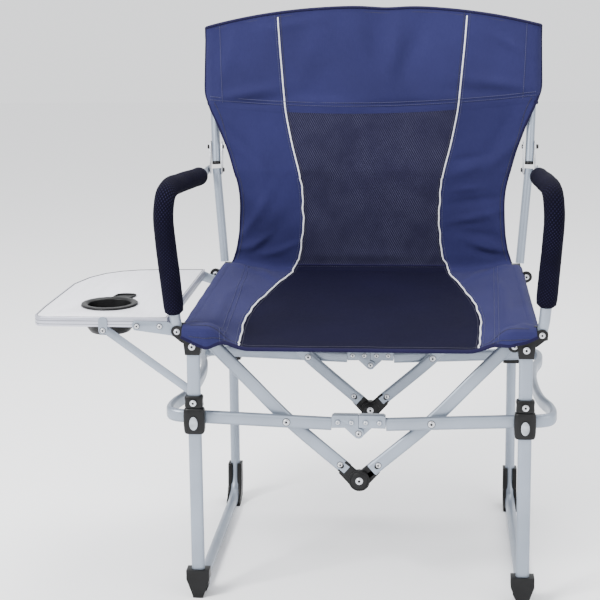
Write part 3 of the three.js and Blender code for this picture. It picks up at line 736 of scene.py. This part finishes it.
def upper_rows():
    rows, kinds = [], []
    for band, count in (("back", 26), ("top", 40)):
        vs = np.linspace(0, 1, count)
        for v in (vs if band == "back" else vs[1:]):
            row = []
            zm = PIVOT_Z + (752 - PIVOT_Z) * v if band == "back" else 752 + (930 - 752) * v
            pipe = float(PIPE_BACK(zm))
            for x in columns(pipe, float(HALF(min(zm, 905)))):
                if band == "back":
                    z = PIVOT_Z + (seam_z(x) - PIVOT_Z) * v
                    lift = 0.0
                else:
                    z = seam_z(x) + (top_z(x) - seam_z(x)) * v
                    lift = 1.8 * ease(v * 30) + 1.2 * math.sin(math.pi * v) * ease((300 - abs(x)) / 60)
                f = folds(x, z, BACK_FOLDS if band == "back" else TOP_FOLDS + BACK_FOLDS)
                f += cloth_noise(x, z) * (1.0 if band == "back" else 1.25)
                f *= ease((tube_x(z) + 8 - abs(x)) / 26) if z > 735 else 1.0
                q = min(1.0, max(0.0, (abs(x) - tube_x(z)) / 12.5)) * ease((z - 735) / 30)
                row.append((x, back_y(z) - lift - f + 13.0 * (1 - math.sqrt(1 - q * q)), z))
            rows.append(row)
            kinds.append(band)
    return np.array(rows), kinds


def grid_normals(P):
    du = np.gradient(P, axis=1)
    dv = np.gradient(P, axis=0)
    n = np.cross(du, dv)
    return n / np.maximum(np.linalg.norm(n, axis=2, keepdims=True), 1e-9)


def cloth(name, P, N, thick, mats, pick):
    """A sheet with two faces and closed edges. P and N are grids in mm; pick(i, j) chooses the material."""
    ny, nx = P.shape[:2]
    verts = [W(*p) for face in (P, P - N * thick) for p in face.reshape(-1, 3)]
    step_v = np.linalg.norm(np.diff(P[:, nx // 2], axis=0), axis=1)
    arc = np.concatenate([[0], np.cumsum(step_v)]) / 1000
    faces, index, uvs = [], [], []
    off = nx * ny
    rim = [(0, 0), (0.001, 0), (0.001, 0.001), (0, 0.001)]

    def add(f, m, uv):
        faces.append(f)
        index.append(m)
        uvs.append(uv)

    for j in range(ny - 1):
        for i in range(nx - 1):
            a, b, c, d = j * nx + i, j * nx + i + 1, (j + 1) * nx + i + 1, (j + 1) * nx + i
            uv = [(P[j, i, 0] / 1000, arc[j]), (P[j, i + 1, 0] / 1000, arc[j]),
                  (P[j + 1, i + 1, 0] / 1000, arc[j + 1]), (P[j + 1, i, 0] / 1000, arc[j + 1])]
            m = pick(i, j)
            add((a, b, c, d), m, uv)
            add((off + d, off + c, off + b, off + a), m, uv[::-1])
    for i in range(nx - 1):
        for j, flip in ((0, True), (ny - 1, False)):
            a, b = j * nx + i, j * nx + i + 1
            f = (a, off + a, off + b, b) if flip else (a, b, off + b, off + a)
            add(f, pick(i, min(j, ny - 2)), rim)
    for j in range(ny - 1):
        for i, flip in ((0, False), (nx - 1, True)):
            a, b = j * nx + i, (j + 1) * nx + i
            f = (a, b, off + b, off + a) if not flip else (a, off + a, off + b, b)
            add(f, pick(min(i, nx - 2), j), rim)
    o = mesh_object(name, verts, faces, mats, index=index, uvs=uvs, angle=70)
    area = 0.0
    for j in range(ny - 1):
        e = np.linalg.norm(np.cross(P[j + 1, 1:] - P[j, :-1], P[j + 1, :-1] - P[j, 1:]), axis=1) / 2
        area += float(e.sum())
    width = max(float(np.linalg.norm(np.diff(P[j], axis=0), axis=1).sum()) for j in range(0, ny, 6))
    return o, (round(width / 1000, 3), round(float(arc[-1]), 3)), round(area / 1e6, 4)


def at_x(P, N, j, x, lift=0.0):
    """The point of row j where the cloth has this x."""
    xs = P[j, :, 0]
    p, n = (np.array([np.interp(x, xs, G[j, :, k]) for k in range(3)]) for G in (P, N))
    return W(*(p + n * lift))


LOW, LOW_KIND = lower_rows()
UP, UP_KIND = upper_rows()
BOTH = np.concatenate([LOW, UP[1:]])
NB = grid_normals(BOTH)
CUT = len(LOW) - 4
KIND = LOW_KIND + UP_KIND[1:]
LOW, N_LOW, LOW_KIND = BOTH[:CUT + 1], NB[:CUT + 1], KIND[:CUT + 1]
UP, N_UP, UP_KIND = BOTH[CUT:], NB[CUT:], KIND[CUT:]


def pick_low(i, j):
    inside = PIPE_COLS[0] <= i < PIPE_COLS[1]
    if LOW_KIND[min(j + 1, len(LOW_KIND) - 1)] == "seat":
        return 1 if inside else 0
    return 2 if inside else 3


def pick_up(i, j):
    inside = PIPE_COLS[0] <= i < PIPE_COLS[1]
    if UP_KIND[min(j + 1, len(UP_KIND) - 1)] == "top":
        return 0
    return 1 if inside else 2


LOWER, FLAT_LOW, AREA_LOW = cloth("sling_lower", LOW, N_LOW, 1.6, [BLUE, NAVY, MESH, SIDE], pick_low)
UPPER, FLAT_UP, AREA_UP = cloth("sling_upper", UP, N_UP, 1.6, [BLUE, MESH, SIDE], pick_up)
EXTRA = {"low": [], "up": []}


def half_of(part):
    """The rows and normals of one half of the sling."""
    return (LOW, N_LOW) if part == "low" else (UP, N_UP)


def soft_piece(o, part):
    """Rides with its half of the sling, on a mesh of its own, and is counted with it."""
    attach(o, "side_l" if part == "low" else "back_l")
    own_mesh(o)
    EXTRA[part].append(o.name)


def line_on(part, xs_of, name, r, mat, lift, j0=0, j1=None, profile=None):
    """A cord or thread on the cloth: xs_of(j, P) gives its x on each row."""
    P, N = half_of(part)
    pts = [at_x(P, N, j, xs_of(j, P), lift) for j in range(j0, len(P) if j1 is None else j1)]
    o = sweep(name, pts, profile or ring_profile(r, 8), mat, step=0.004, cap=r / 2000)
    soft_piece(o, part)


def edge_line(part, j, name, r, mat, lift, trim=0, drop=0.0, profile=None):
    """A cord or tape along one row of the cloth."""
    P, N = half_of(part)
    cols = range(trim, P.shape[1] - trim)
    pts = [W(*(P[j, i] + N[j, i] * lift + np.array([0, 0, drop]))) for i in cols]
    o = sweep(name, pts, profile or ring_profile(r, 8), mat, step=0.004, cap=r / 2000)
    soft_piece(o, part)


TAPE = oval_profile(5.2, 2.6, 5)
UP_END = next(j for j in range(len(UP)) if UP[j, 0, 2] > 768)
for side, s in SIDES:
    col, edge = (PIPE_COLS[0], 0) if s < 0 else (PIPE_COLS[1], -1)
    wave = lambda j: 0.7 * math.sin(j * 0.43 + s) + 0.5 * math.sin(j * 0.93)
    for part, tag in (("low", "seat"), ("up", "back")):
        low = part == "low"
        line_on(part, lambda j, P: P[j, col, 0] + (wave(j) if low else 0), f"piping_{tag}_{side}", 1.45, PIPING,
                1.1, j0=2 if low else 0, j1=None if low else len(UP) - 2)
        # The outer line is blue thread. The inner line is navy thread that also stands in for the piping's shadow, so
        # it is partly a painted shadow line.
        for k, d in enumerate((5.5, -5.0)):
            line_on(part, lambda j, P: P[j, col, 0] + s * d, f"stitch_pipe_{tag}_{side}{k}", 0.5,
                    STITCH if d > 0 else STITCH_DARK, 0.25, j0=1)
    # double seam beside the seat's edge
    for k, d in enumerate((0, 7)):
        line_on("low", lambda j, P: s * (213 + d + 16 * min(1, j / 69)), f"stitch_seat_{side}{k}", 0.45, STITCH,
                0.25, j0=1, j1=70)
    # bound edge of the waist
    line_on("low", lambda j, P: P[j, edge, 0], f"binding_low_{side}", 2, BINDING, -0.8, j0=72, profile=TAPE)
    line_on("up", lambda j, P: P[j, edge, 0], f"binding_up_{side}", 2, BINDING, -0.8, profile=TAPE)
    line_on("up", lambda j, P: P[j, edge, 0] - s * 9 * ease((P[j, 0, 2] - 700) / 60) - s * 5,
            f"stitch_waist_{side}", 0.5, STITCH_DARK, 0.3, j1=UP_END + 2)
    line_on("low", lambda j, P: P[j, edge, 0] - s * 6, f"stitch_waist_low_{side}", 0.5, STITCH_DARK, 0.3, j0=74)
    line_on("up", lambda j, P: s * (tube_x(P[j, 40, 2]) - 17), f"stitch_sleeve_{side}", 0.55, STITCH, 0.3,
            j0=UP_END + 1, j1=len(UP) - 1)

SEAM_ROW = UP_KIND.index("top") + 1
edge_line("up", SEAM_ROW, "stitch_band_a", 0.55, STITCH, 0.4, trim=1, drop=4)
edge_line("up", SEAM_ROW, "stitch_band_b", 0.55, STITCH, 0.4, trim=1, drop=10)
edge_line("up", len(UP) - 1, "binding_top", 3, BINDING, -0.8, profile=oval_profile(7.5, 3.6, 5), drop=-0.5)
edge_line("up", len(UP) - 2, "stitch_top", 0.55, STITCH_DARK, 0.4, trim=3, drop=-4)
edge_line("low", 0, "binding_front", 3, BINDING, -0.8, profile=oval_profile(7.0, 3.4, 5))
edge_line("low", 4, "stitch_front_a", 0.45, STITCH_DARK, 0.3, trim=3)
edge_line("low", 11, "stitch_front_b", 0.45, STITCH_DARK, 0.3, trim=3)
edge_line("low", LOW_KIND.index("back"), "seam_seat_back", 1.6, BINDING, 0.6, trim=PIPE_COLS[0])


def moulded_block(name, cx, half, y0, y1, rows, mat, n=40):
    """A rounded hub on an upright tube. rows are (height, share of the full width)."""
    verts = []
    cy, hy = (y0 + y1) / 2, (y1 - y0) / 2
    for z, k in rows:
        for i in range(n):
            a = 2 * math.pi * i / n
            c, q = math.cos(a), math.sin(a)
            x = math.copysign(abs(c) ** 0.42, c) * half * k
            y = math.copysign(abs(q) ** 0.42, q) * (hy - (1 - k) * half * 0.6)
            verts.append(W(cx + x, cy + y, z))
    faces = [(r * n + i, r * n + (i + 1) % n, (r + 1) * n + (i + 1) % n, (r + 1) * n + i)
             for r in range(len(rows) - 1) for i in range(n)]
    faces += [tuple(range(n))[::-1], tuple((len(rows) - 1) * n + i for i in range(n))]
    return mesh_object(name, verts, faces, mat, angle=38)


# ---- hems round the rails and the back tubes ----
def crease_ring(amount, seed, ends=0.84):
    """Swell of a cloth sleeve: long soft creases, drawn in at both ends."""
    def f(s, total, frac):
        a = frac * 2 * math.pi
        k = 1 + amount * (math.sin(a * 3 + s * 31 + seed) * math.sin(s * 47 + seed * 2)
                          + 0.5 * math.sin(a * 5 - s * 83))
        e = min(s, total - s) / 0.004
        return k * (ends + (1 - ends) * math.sqrt(1 - (1 - min(1.0, e)) ** 2))
    return f


def back_line(s, z):
    """The axis of a back tube."""
    t = (z - PIVOT_Z) / 255
    return W(s * (293 + 10 * t), PIVOT_Y + 52 * t, z)


def hem(part, name, points, r, mat, body, **kw):
    """A sleeve of cloth round a rail or a tube, counted with its half of the sling."""
    o = put(sweep(name, points, ring_profile(r, 28), mat, **kw), body, CLOTH)
    EXTRA[part].append(o.name)


for side, s in SIDES:
    hem("low", f"hem_seat_{side}", [W(s * 276, 13.5, 446), W(s * 273, 235, 454), W(s * 270.1, 456, 462)], 12.2, BLUE,
        f"side_{side}", step=0.005, cap=-0.001, swell=crease_ring(0.022, 1.7 * s))
    hem("up", f"hem_back_{side}", [back_line(s, z) for z in (767, 835, 906)], 11.4, BLUE,
        f"back_{side}", step=0.004, cap=0.0015, swell=crease_ring(0.025, 2.3 * s))
    hem("up", f"hem_band_{side}", [back_line(s, z) for z in (766, 772)], 12.3, BINDING,
        f"back_{side}", step=0.002, cap=-0.0005, swell=crease_ring(0.01, 0.4, 0.92))


# ---- frame ----
def flat_ends(first, last, run=0.03, keep=0.0):
    """Tube ends pressed flat: (share across wide, share through) at each end, flat for keep at the last."""
    def f(s, total, frac):
        a, b = ease(1 - s / run), ease(1 - (total - s - keep) / run)
        kx = 1 + (first[0] - 1) * a + (last[0] - 1) * b
        ky = 1 + (first[1] - 1) * a + (last[1] - 1) * b
        return kx, ky
    return f


def plate(name, outline, y0, y1, mat, edge=0.5):
    """A pressed plate in the x, z plane between two depths, with eased edges."""
    n = len(outline)
    area = sum(outline[i][0] * outline[(i + 1) % n][1] - outline[(i + 1) % n][0] * outline[i][1] for i in range(n))
    pts = outline if area > 0 else outline[::-1]
    cx, cz = sum(p[0] for p in pts) / n, sum(p[1] for p in pts) / n
    size = max(math.dist(p, (cx, cz)) for p in pts)
    k = 1 - edge / size
    rings = [(y0, k), (y0 + edge, 1.0), (y1 - edge, 1.0), (y1, k)]
    verts = [W(cx + (x - cx) * q, y, cz + (z - cz) * q) for y, q in rings for x, z in pts]
    faces = []
    for r in range(3):
        for i in range(n):
            j = (i + 1) % n
            faces.append((r * n + i, r * n + j, (r + 1) * n + j, (r + 1) * n + i))
    faces.append(tuple(range(n)))
    faces.append(tuple(3 * n + i for i in range(n))[::-1])
    return mesh_object(name, verts, faces, mat, angle=40)


def slot_shape(x0, z0, x1, z1, r, n=9):
    """Outline of a bar with round ends."""
    a = math.atan2(z1 - z0, x1 - x0)
    return [(x + r * math.cos(a + t), z + r * math.sin(a + t)) for x, z, mid in ((x1, z1, 0), (x0, z0, math.pi))
            for t in np.linspace(mid - math.pi / 2, mid + math.pi / 2, n)]


def round_tube(node, points, r, body):
    """A CAD tube redrawn round."""
    put(tube(node + "_tube", points, r, SILVER, n=26), body, FRAME, node)


def ring_z(x):
    return CROSS_Z + 0.04 * (abs(x) - CROSS_X)


# x, where its y is counted from (front bar, rear bar or the leg plane) and y
RING = [(44, "f", 0), (150, "f", 0), (268, "f", 0), (292, "f", 0), (306, "f", 7), (312, "f", 24), (311, "f", 60),
        (299, "m", 130), (293, "m", 230), (299, "m", 330), (311, "r", -60), (312, "r", -24), (306, "r", -7),
        (292, "r", 0), (268, "r", 0), (150, "r", 0), (44, "r", 0)]
RING_FROM = {"f": BAR_FRONT_Y, "m": 0, "r": BAR_REAR_Y}
LEG_BEND = [(470, 438), (470, 300), (470, 160), (470, 112), (470, 88), (469, 64), (465, 42), (453, 22), (430, 12),
            (380, 12), (200, 12), (24, 12)]
ARMREST = [(289, 0, 443), (289.5, -0.6, 455), (292, -3, 470), (297, -12, 540), (301, -22, 600), (303, -24, 640),
           (302, -10, 668), (301, 24, 677), (301, 120, 672), (302, 320, 655), (306, 400, 649), (308.6, 452, 645.4),
           (309, 470, 645), (309, 501, 645)]
CLAMP_ROWS = [(324.5, 0.86), (325.2, 0.93), (327.5, 1.0), (331, 0.975), (334.5, 0.955), (338, 0.975), (341.5, 1.0),
              (343.8, 0.93), (344.5, 0.86)]
SLIDER_ROWS = [(281, 0.80), (281.8, 0.87), (284, 0.93), (289, 0.975), (297, 1.0), (312, 1.0), (318, 0.98),
               (321.5, 0.94), (323.4, 0.87), (323.9, 0.80)]

for side, s in SIDES:
    body, back, slider, bar, arm = (f"{part}_{side}" for part in ("side", "back", "slider", "bar", "arm"))
    m = lambda *pts: [W(s * x, y, z) for x, y, z in pts]
    put(sweep(f"front_leg_{side}_tube", m((LEG_X, 0, 20), (LEG_X, 0, 436)), oval_profile(22, 12, 9), SILVER,
              wide=(1, 0, 0)), body, FRAME, f"front_leg_{side}")
    round_tube(f"rear_leg_{side}", m(*((LEG_X, y, z) for y, z in LEG_BEND)), 9, body)
    fine(f"foot_{side}", BLACK, body, PLASTIC, 1.6, 3)
    fine(f"bend_guard_{side}", BLACK, body, PLASTIC, 1.2)
    fine(f"front_hub_{side}", BLACK, body, PLASTIC, 2.6, 4)
    fine(f"rear_hub_{side}", BLACK, body, PLASTIC, 1.6, 3)
    put(moulded_block(f"stop_clamp_{side}_body", s * LEG_X, 15, -12, 7.8, CLAMP_ROWS, BLACK), body, PLASTIC,
        f"stop_clamp_{side}")
    round_tube(f"seat_rail_{side}", m((276, 11.6, 446), (270, 459.5, 462)), 9, body)
    put(plate(f"arm_tab_front_{side}", slot_shape(s * 270, 434, s * ARM_TOP_X, ARM_TOP_Z, 9), 33.6, 37, SILVER),
        body, FRAME)
    put(plate(f"arm_tab_rear_{side}", slot_shape(s * 268, 440, s * ARM_TOP_X, ARM_TOP_Z, 9), 422, 425.4, SILVER),
        body, FRAME)
    ear_y = 405.0 if side == "l" else 397.5
    put(plate(f"rear_ear_{side}", slot_shape(s * 266, 452, s * 286.5, 461, 10.5), ear_y, ear_y + 4.5, BLACK, 1.0),
        body, PLASTIC)
    put(tube(f"armrest_{side}_tube", m(*ARMREST), 9, SILVER, n=26, wide=(1, 0, 0),
             swell=flat_ends((0.9, 0.33), (0.24, 0.92), 0.03, 0.056)), body, FRAME, f"armrest_tube_{side}")
    round_tube(f"back_post_{side}", m((278, 472, 472.5), (293, PIVOT_Y, 648)), 8, body)
    round_tube(f"back_tube_{side}", [back_line(s, 661), back_line(s, 900)], 8, back)
    fine(f"tube_plug_{side}", BLACK, back, PLASTIC, 0.8)
    for where in ("outer", "inner"):
        fine(f"hinge_plate_{where}_{side}", STEEL, back, "bright_steel", 0.5)
    put(moulded_block(f"front_slider_{side}_body", s * LEG_X, 17.5, -12.5, 8.1, SLIDER_ROWS, BLACK), slider, PLASTIC,
        f"front_slider_{side}")
    fine(f"rear_slider_{side}", BLACK, slider, PLASTIC, 3.0, 4)
    fine(f"slider_button_{side}", GREY, slider, FRAME, 1.2, 3)
    pts = [W(s * x, RING_FROM[a] + d, ring_z(x)) for x, a, d in RING]
    put(sweep(f"ring_{side}_tube", pts, oval_profile(22, 12, 9), SILVER, wide=(0, 0, 1), step=0.004), bar, FRAME,
        f"ring_tube_{side}")
    for tag, y0, y1 in (("front", 9.4, 13.0), ("rear", 446.5, 450.1)):
        put(plate(f"ring_lug_{tag}_{side}", slot_shape(s * LEG_X, 304, s * LEG_X, 319.5, 7.6), y0, y1, SILVER), bar,
            FRAME)
        fine(f"{tag}_bracket_{side}", SILVER, bar, FRAME, 1.0)
        fine(f"{tag}_knuckle_{side}", BLACK, arm, PLASTIC, 1.2, 3)
    low = Vector((CROSS_X, KNUCKLE_Z - CROSS_Z)).normalized() * 27
    for tag, y in (("front", 28), ("rear", 431)):
        pts = m((ARM_TOP_X, y, ARM_TOP_Z), (182, y, 365.3), (CROSS_X, y, CROSS_Z), (low.x, y, KNUCKLE_Z - low.y))
        put(sweep(f"{tag}_arm_{side}_tube", pts, oval_profile(22, 10, 9), SILVER, wide=(s * 0.7, 0, -0.7),
                  swell=flat_ends((1, 0.5), (1.02, 1.06), 0.02)), arm, FRAME, f"{tag}_arm_{side}")

# table
put(plate("table_tab", slot_shape(-272, 453, -289, 451, 8.5), 401, 404.5, SILVER), "side_l", FRAME)
fine("table_top", WHITE, "table", "table_white", 0.5)
fine("table_edge", ALU, "table", "table_aluminium", 0.7)
fine("cup_holder", BLACK, "table", PLASTIC, 0.9, 3)
fine("table_bracket_front", SILVER, "table", FRAME, 0.6)
fine("table_bracket_rear", SILVER, "table", FRAME, 0.6)
fine("table_strut", SILVER, "strut", FRAME, 0.9)

# ---- small fittings ----
FRONT, BACK = (0, -1, 0), (0, 1, 0)
CAP = [(17.4, -0.3), (17.4, 0.9), (16.3, 1.5), (14.8, 1.5), (14.3, 0.8), (13.7, 1.5), (0, 1.7)]
RIBS = [(9.1, 0)] + [(12.2 - 0.15 * i - (1.2 if i % 2 else 0), 0.6 + i * 1.1) for i in range(9)] + [(9.1, 10.6)]
WEB_DEPTHS = {"l": (("front", 22.9, 27.7), ("rear", 431.3, 436.1)),
              "r": (("front", 28.3, 33.1), ("rear", 425.9, 430.7))}
for side, s in SIDES:
    put(plate(f"hub_lobe_{side}", slot_shape(s * 262, 441, s * ARM_TOP_X, ARM_TOP_Z, 10.5), -5.5, 6, BLACK, 1.4),
        f"side_{side}", PLASTIC)
    put(plate(f"ear_cheek_{side}", slot_shape(s * 289, 451, s * 277, 441, 9.6), -9.8, -7.2, BLACK, 0.7),
        f"side_{side}", PLASTIC)
    put(turned(f"foot_collar_{side}", RIBS, W(s * LEG_X, 22.5, 12.5), BACK, GREY), f"side_{side}", PLASTIC)
    web = [(0, KNUCKLE_Z), (0, 178.8), (s * 8, 180.6), (s * 33.5, 208.6), (s * 27, 219)]
    for tag, y0, y1 in WEB_DEPTHS[side]:
        put(plate(f"{tag}_web_{side}", web, y0, y1, BLACK, 0.7), f"arm_{side}", PLASTIC)
for tag, y, way in (("front", 23, FRONT), ("rear", 436, BACK), ("inner", 426, FRONT)):
    put(turned(f"{tag}_knuckle_cap", CAP, W(0, y, KNUCKLE_Z), way, BLACK, 32), "arm_l", PLASTIC)

put(plate("strut_tab", slot_shape(-410, 466, -410, 450.5, 7.2), -5.6, -3.1, SILVER, 0.4), "table", FRAME)
put(turned("strut_pin", [(0, 0), (3.2, 0), (3.2, 17.5), (2.6, 18.2), (0, 18.2)], W(-410, -5, 449), BACK, STEEL),
    "table", "bright_steel")

# dark joint line between the board and its band
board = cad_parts["table_top"].data
high = max(v.co.z for v in board.vertices)
flat = [v.co.xy for v in board.vertices if v.co.z > high - 1e-4]
loop = [flat[i] for i in geometry.convex_hull_2d(flat)]
mid = sum(loop, Vector((0, 0))) / len(loop)
loop = [Vector((*(mid + (c - mid) * (1 + 0.0006 / max(0.01, (c - mid).length))), high + 0.0001)) for c in loop]
put(sweep("board_line", loop + [loop[0]], oval_profile(1.5, 0.7, 4), DARK_FILL_AND_SHADE, raw=True), "table", "table_aluminium")

# the cup holder's notch for a mug handle
CUP_X, CUP_Y = -419, 92
NOTCH_LIP = [(-5, 43), (-3, 60), (0, 71), (8, 75.5), (22, 75.5), (30, 71), (29, 58), (25, 41)]
NOTCH_WELL = [(-4, 46), (-2, 60), (1, 70), (8, 74), (22, 74), (29, 70), (28, 58), (24, 43)]
lip = [W(CUP_X + x, CUP_Y + y, 473.3) for x, y in NOTCH_LIP]
put(sweep("cup_notch_lip", lip, oval_profile(3.4, 3.0, 5), BLACK, wide=(0, 0, 1), step=0.002, cap=0.0008), "table",
    PLASTIC)
well = [W(CUP_X + x, CUP_Y + y, 472.25) for x, y in NOTCH_WELL]
walls = [(i, (i + 1) % 8, 8 + (i + 1) % 8, 8 + i) for i in range(8)]
put(mesh_object("cup_notch_well", well + [p - Vector((0, 0, 0.001)) for p in well],
                [tuple(range(8))[::-1]] + walls + [tuple(range(8, 16))], DARK_FILL_AND_SHADE), "table", PLASTIC)

# ---- rivets ----
def rivets(s, *rows):
    """Rivets by x, y, z, direction, radius and body, on the side that s gives."""
    for x, y, z, way, r, body in rows:
        rivet(W(s * x, y, z), way, r, body)


NUT = [(0, 3.4), (3.2, 3.4), (4.3, 2.8), (4.6, 0.4), (4.6, -0.3)]
ARM_RIVET = Vector((CROSS_X, CROSS_Z - KNUCKLE_Z)).normalized() * 41
for side, s in SIDES:
    body, back, bar, arm = (f"{part}_{side}" for part in ("side", "back", "bar", "arm"))
    out, inward = (s, 0, 0), (-s, 0, 0)
    rivets(s, (LEG_X, -12.2, 427, FRONT, 4.6, body), (ARM_TOP_X, -5.8, ARM_TOP_Z, FRONT, 4.4, body),
           (289, -9.9, 451, FRONT, 4.0, body), (LEG_X, -14.2, 334, FRONT, 4.4, body),
           (286.5, 397.3 if s > 0 else 404.8, 461, FRONT, 4.2, body), (281.8, REAR_LEG_Y, 452, out, 4.4, body),
           (313.4, PIVOT_Y, PIVOT_Z, out, 4.4, body))
    top = back_line(s, PIVOT_Z + 44 * 0.975)
    rivet(top + Vector((s * 0.0104, 0, 0)), out, 4.0, back)
    rivet(top - Vector((s * 0.0115, 0, 0)), inward, 4.0, back)
    rivets(s, (281.4, PIVOT_Y, PIVOT_Z, inward, 4.0, back))
    for k, at in enumerate((W(s * 293, PIVOT_Y, PIVOT_Z), top)):
        for way, tag, gap in ((1, "a", 0.0126), (-1, "b", 0.0118)):
            beside = at + Vector((s * way * gap, 0, 0))
            put(turned(f"hinge_nut_{side}{k}{tag}", NUT, beside, (s * way, 0, 0), BLACK, 6), back, PLASTIC)
    d, z = ARM_RIVET.x, KNUCKLE_Z + ARM_RIVET.y
    rivets(s, (CROSS_X, 9.0, CROSS_Z, FRONT, 4.6, bar), (CROSS_X, 450.5, CROSS_Z, BACK, 4.6, bar),
           (11.5, 6.2, 299.5, FRONT, 3.4, bar), (11.5, 453.5, 299.5, BACK, 3.4, bar),
           (33.5, 6.2, 299.5, FRONT, 3.4, bar), (33.5, 453.5, 299.5, BACK, 3.4, bar),
           (d, 22.5, z, FRONT, 3.8, arm), (d, 436.5, z, BACK, 3.8, arm), (d, 425.6, z, FRONT, 3.8, arm),
           (CROSS_X, 425.8, CROSS_Z, FRONT, 4.6, arm),
           (11.5, 436.0, 299.5, FRONT, 3.4, bar), (33.5, 436.0, 299.5, FRONT, 3.4, bar))
rivets(1, (0, 21.5, KNUCKLE_Z, FRONT, 5.0, "arm_l"), (0, 437.5, KNUCKLE_Z, BACK, 5.0, "arm_l"),
       (0, 424.5, KNUCKLE_Z, FRONT, 5.0, "arm_l"), (0, 7.0, 281, FRONT, 3.8, "bar_l"),
       (0, 436.1, 281, FRONT, 3.8, "bar_l"), (0, 452.5, 281, BACK, 3.8, "bar_l"),
       (-354, -8.5, 459, FRONT, 3.4, "table"), (-317, -8.5, 459, FRONT, 3.4, "table"),
       (-410, -5.8, 450.5, FRONT, 3.6, "table"))


# ---- armrest sleeves ----
def pad_swell(seed):
    """A stuffed sleeve: full in the middle, drawn in at the hems, with creases inside the bend."""
    def f(s, total, frac):
        a = frac * 2 * math.pi
        e = min(s, total - s)
        k = 0.985 + 0.012 * math.sin(s * 38 + seed) + 0.010 * math.sin(a * 2 + s * 23 + seed)
        k -= 0.016 * ease(1 - abs(math.sin(s * 70 + math.sin(a) * 0.8)) * 4) * ease(math.sin(math.pi * s / total) * 2)
        k *= 0.93 + 0.07 * ease(e / 0.016)
        return k * (0.72 + 0.28 * math.sqrt(1 - (1 - min(1.0, e / 0.005)) ** 2))
    return f


for side, s in SIDES:
    foot_end = (292.9, -4.6, 480) if side == "l" else (294.2, -6.6, 497)
    path = [W(s * x, y, z) for x, y, z in (
        foot_end, (297, -12, 540), (301, -22, 600), (303, -24, 640), (302, -10, 668), (301, 24, 677),
        (301, 120, 672), (302, 320, 655), (302.9, 348, 653))]
    pad = sweep(f"armrest_{side}_pad", path, ring_profile(16.5, 40), KNIT, step=0.004, wide=(1, 0, 0),
                swell=pad_swell(1.1 * s))
    put(pad, f"side_{side}", "sleeve_fabric", f"armrest_sleeve_{side}")

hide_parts("seat_sling", "back_sling_lower")
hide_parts("back_sling_upper")
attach(LOWER, "side_l")
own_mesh(LOWER)
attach(UPPER, "back_l")
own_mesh(UPPER)

# ---- floor, light, camera ----
floor = mesh_object("studio_floor", [(-9, -9, 0), (9, -9, 0), (9, 9, 0), (-9, 9, 0)], [(0, 1, 2, 3)],
                    Look("studio_white", (0.94, 0.94, 0.945), 0.9).m)

world = bpy.data.worlds.new("studio")
world.use_nodes = True
world.node_tree.nodes["Background"].inputs["Color"].default_value = (0.97, 0.98, 1.0, 1)
world.node_tree.nodes["Background"].inputs["Strength"].default_value = 1.5
bpy.context.scene.world = world


def softbox(name, at, aim, size, power):
    data = bpy.data.lights.new(name, "AREA")
    data.shape, data.size, data.energy = "SQUARE", size, power
    o = add_object(name, data)
    o.location = at
    o.rotation_euler = (Vector(aim) - Vector(at)).to_track_quat("-Z", "Y").to_euler()


softbox("key", (-1.9, -2.0, 2.6), (0, 0, 0.5), 1.1, 190)
softbox("fill", (2.2, -1.8, 1.4), (0, 0, 0.5), 1.8, 32)
softbox("top", (0.2, 0.6, 2.9), (0, 0, 0.4), 1.6, 80)

yaw, pitch, roll = math.radians(-5.281), math.radians(10.738), math.radians(-0.642)
fwd = Vector((math.sin(yaw) * math.cos(pitch), math.cos(yaw) * math.cos(pitch), -math.sin(pitch)))
right = Vector((math.cos(yaw), -math.sin(yaw), 0))
up = right.cross(fwd)
r2 = right * math.cos(roll) + up * math.sin(roll)
u2 = -right * math.sin(roll) + up * math.cos(roll)
cam = bpy.data.cameras.new("camera")
cam.lens, cam.sensor_width, cam.shift_y = 91.55, 36, -0.075
eye = add_object("camera", cam)
eye.matrix_world = Matrix.Translation(W(126.7, -2353.2, 1023.3)) @ Matrix((r2, u2, -fwd)).transposed().to_4x4()
bpy.context.scene.camera = eye
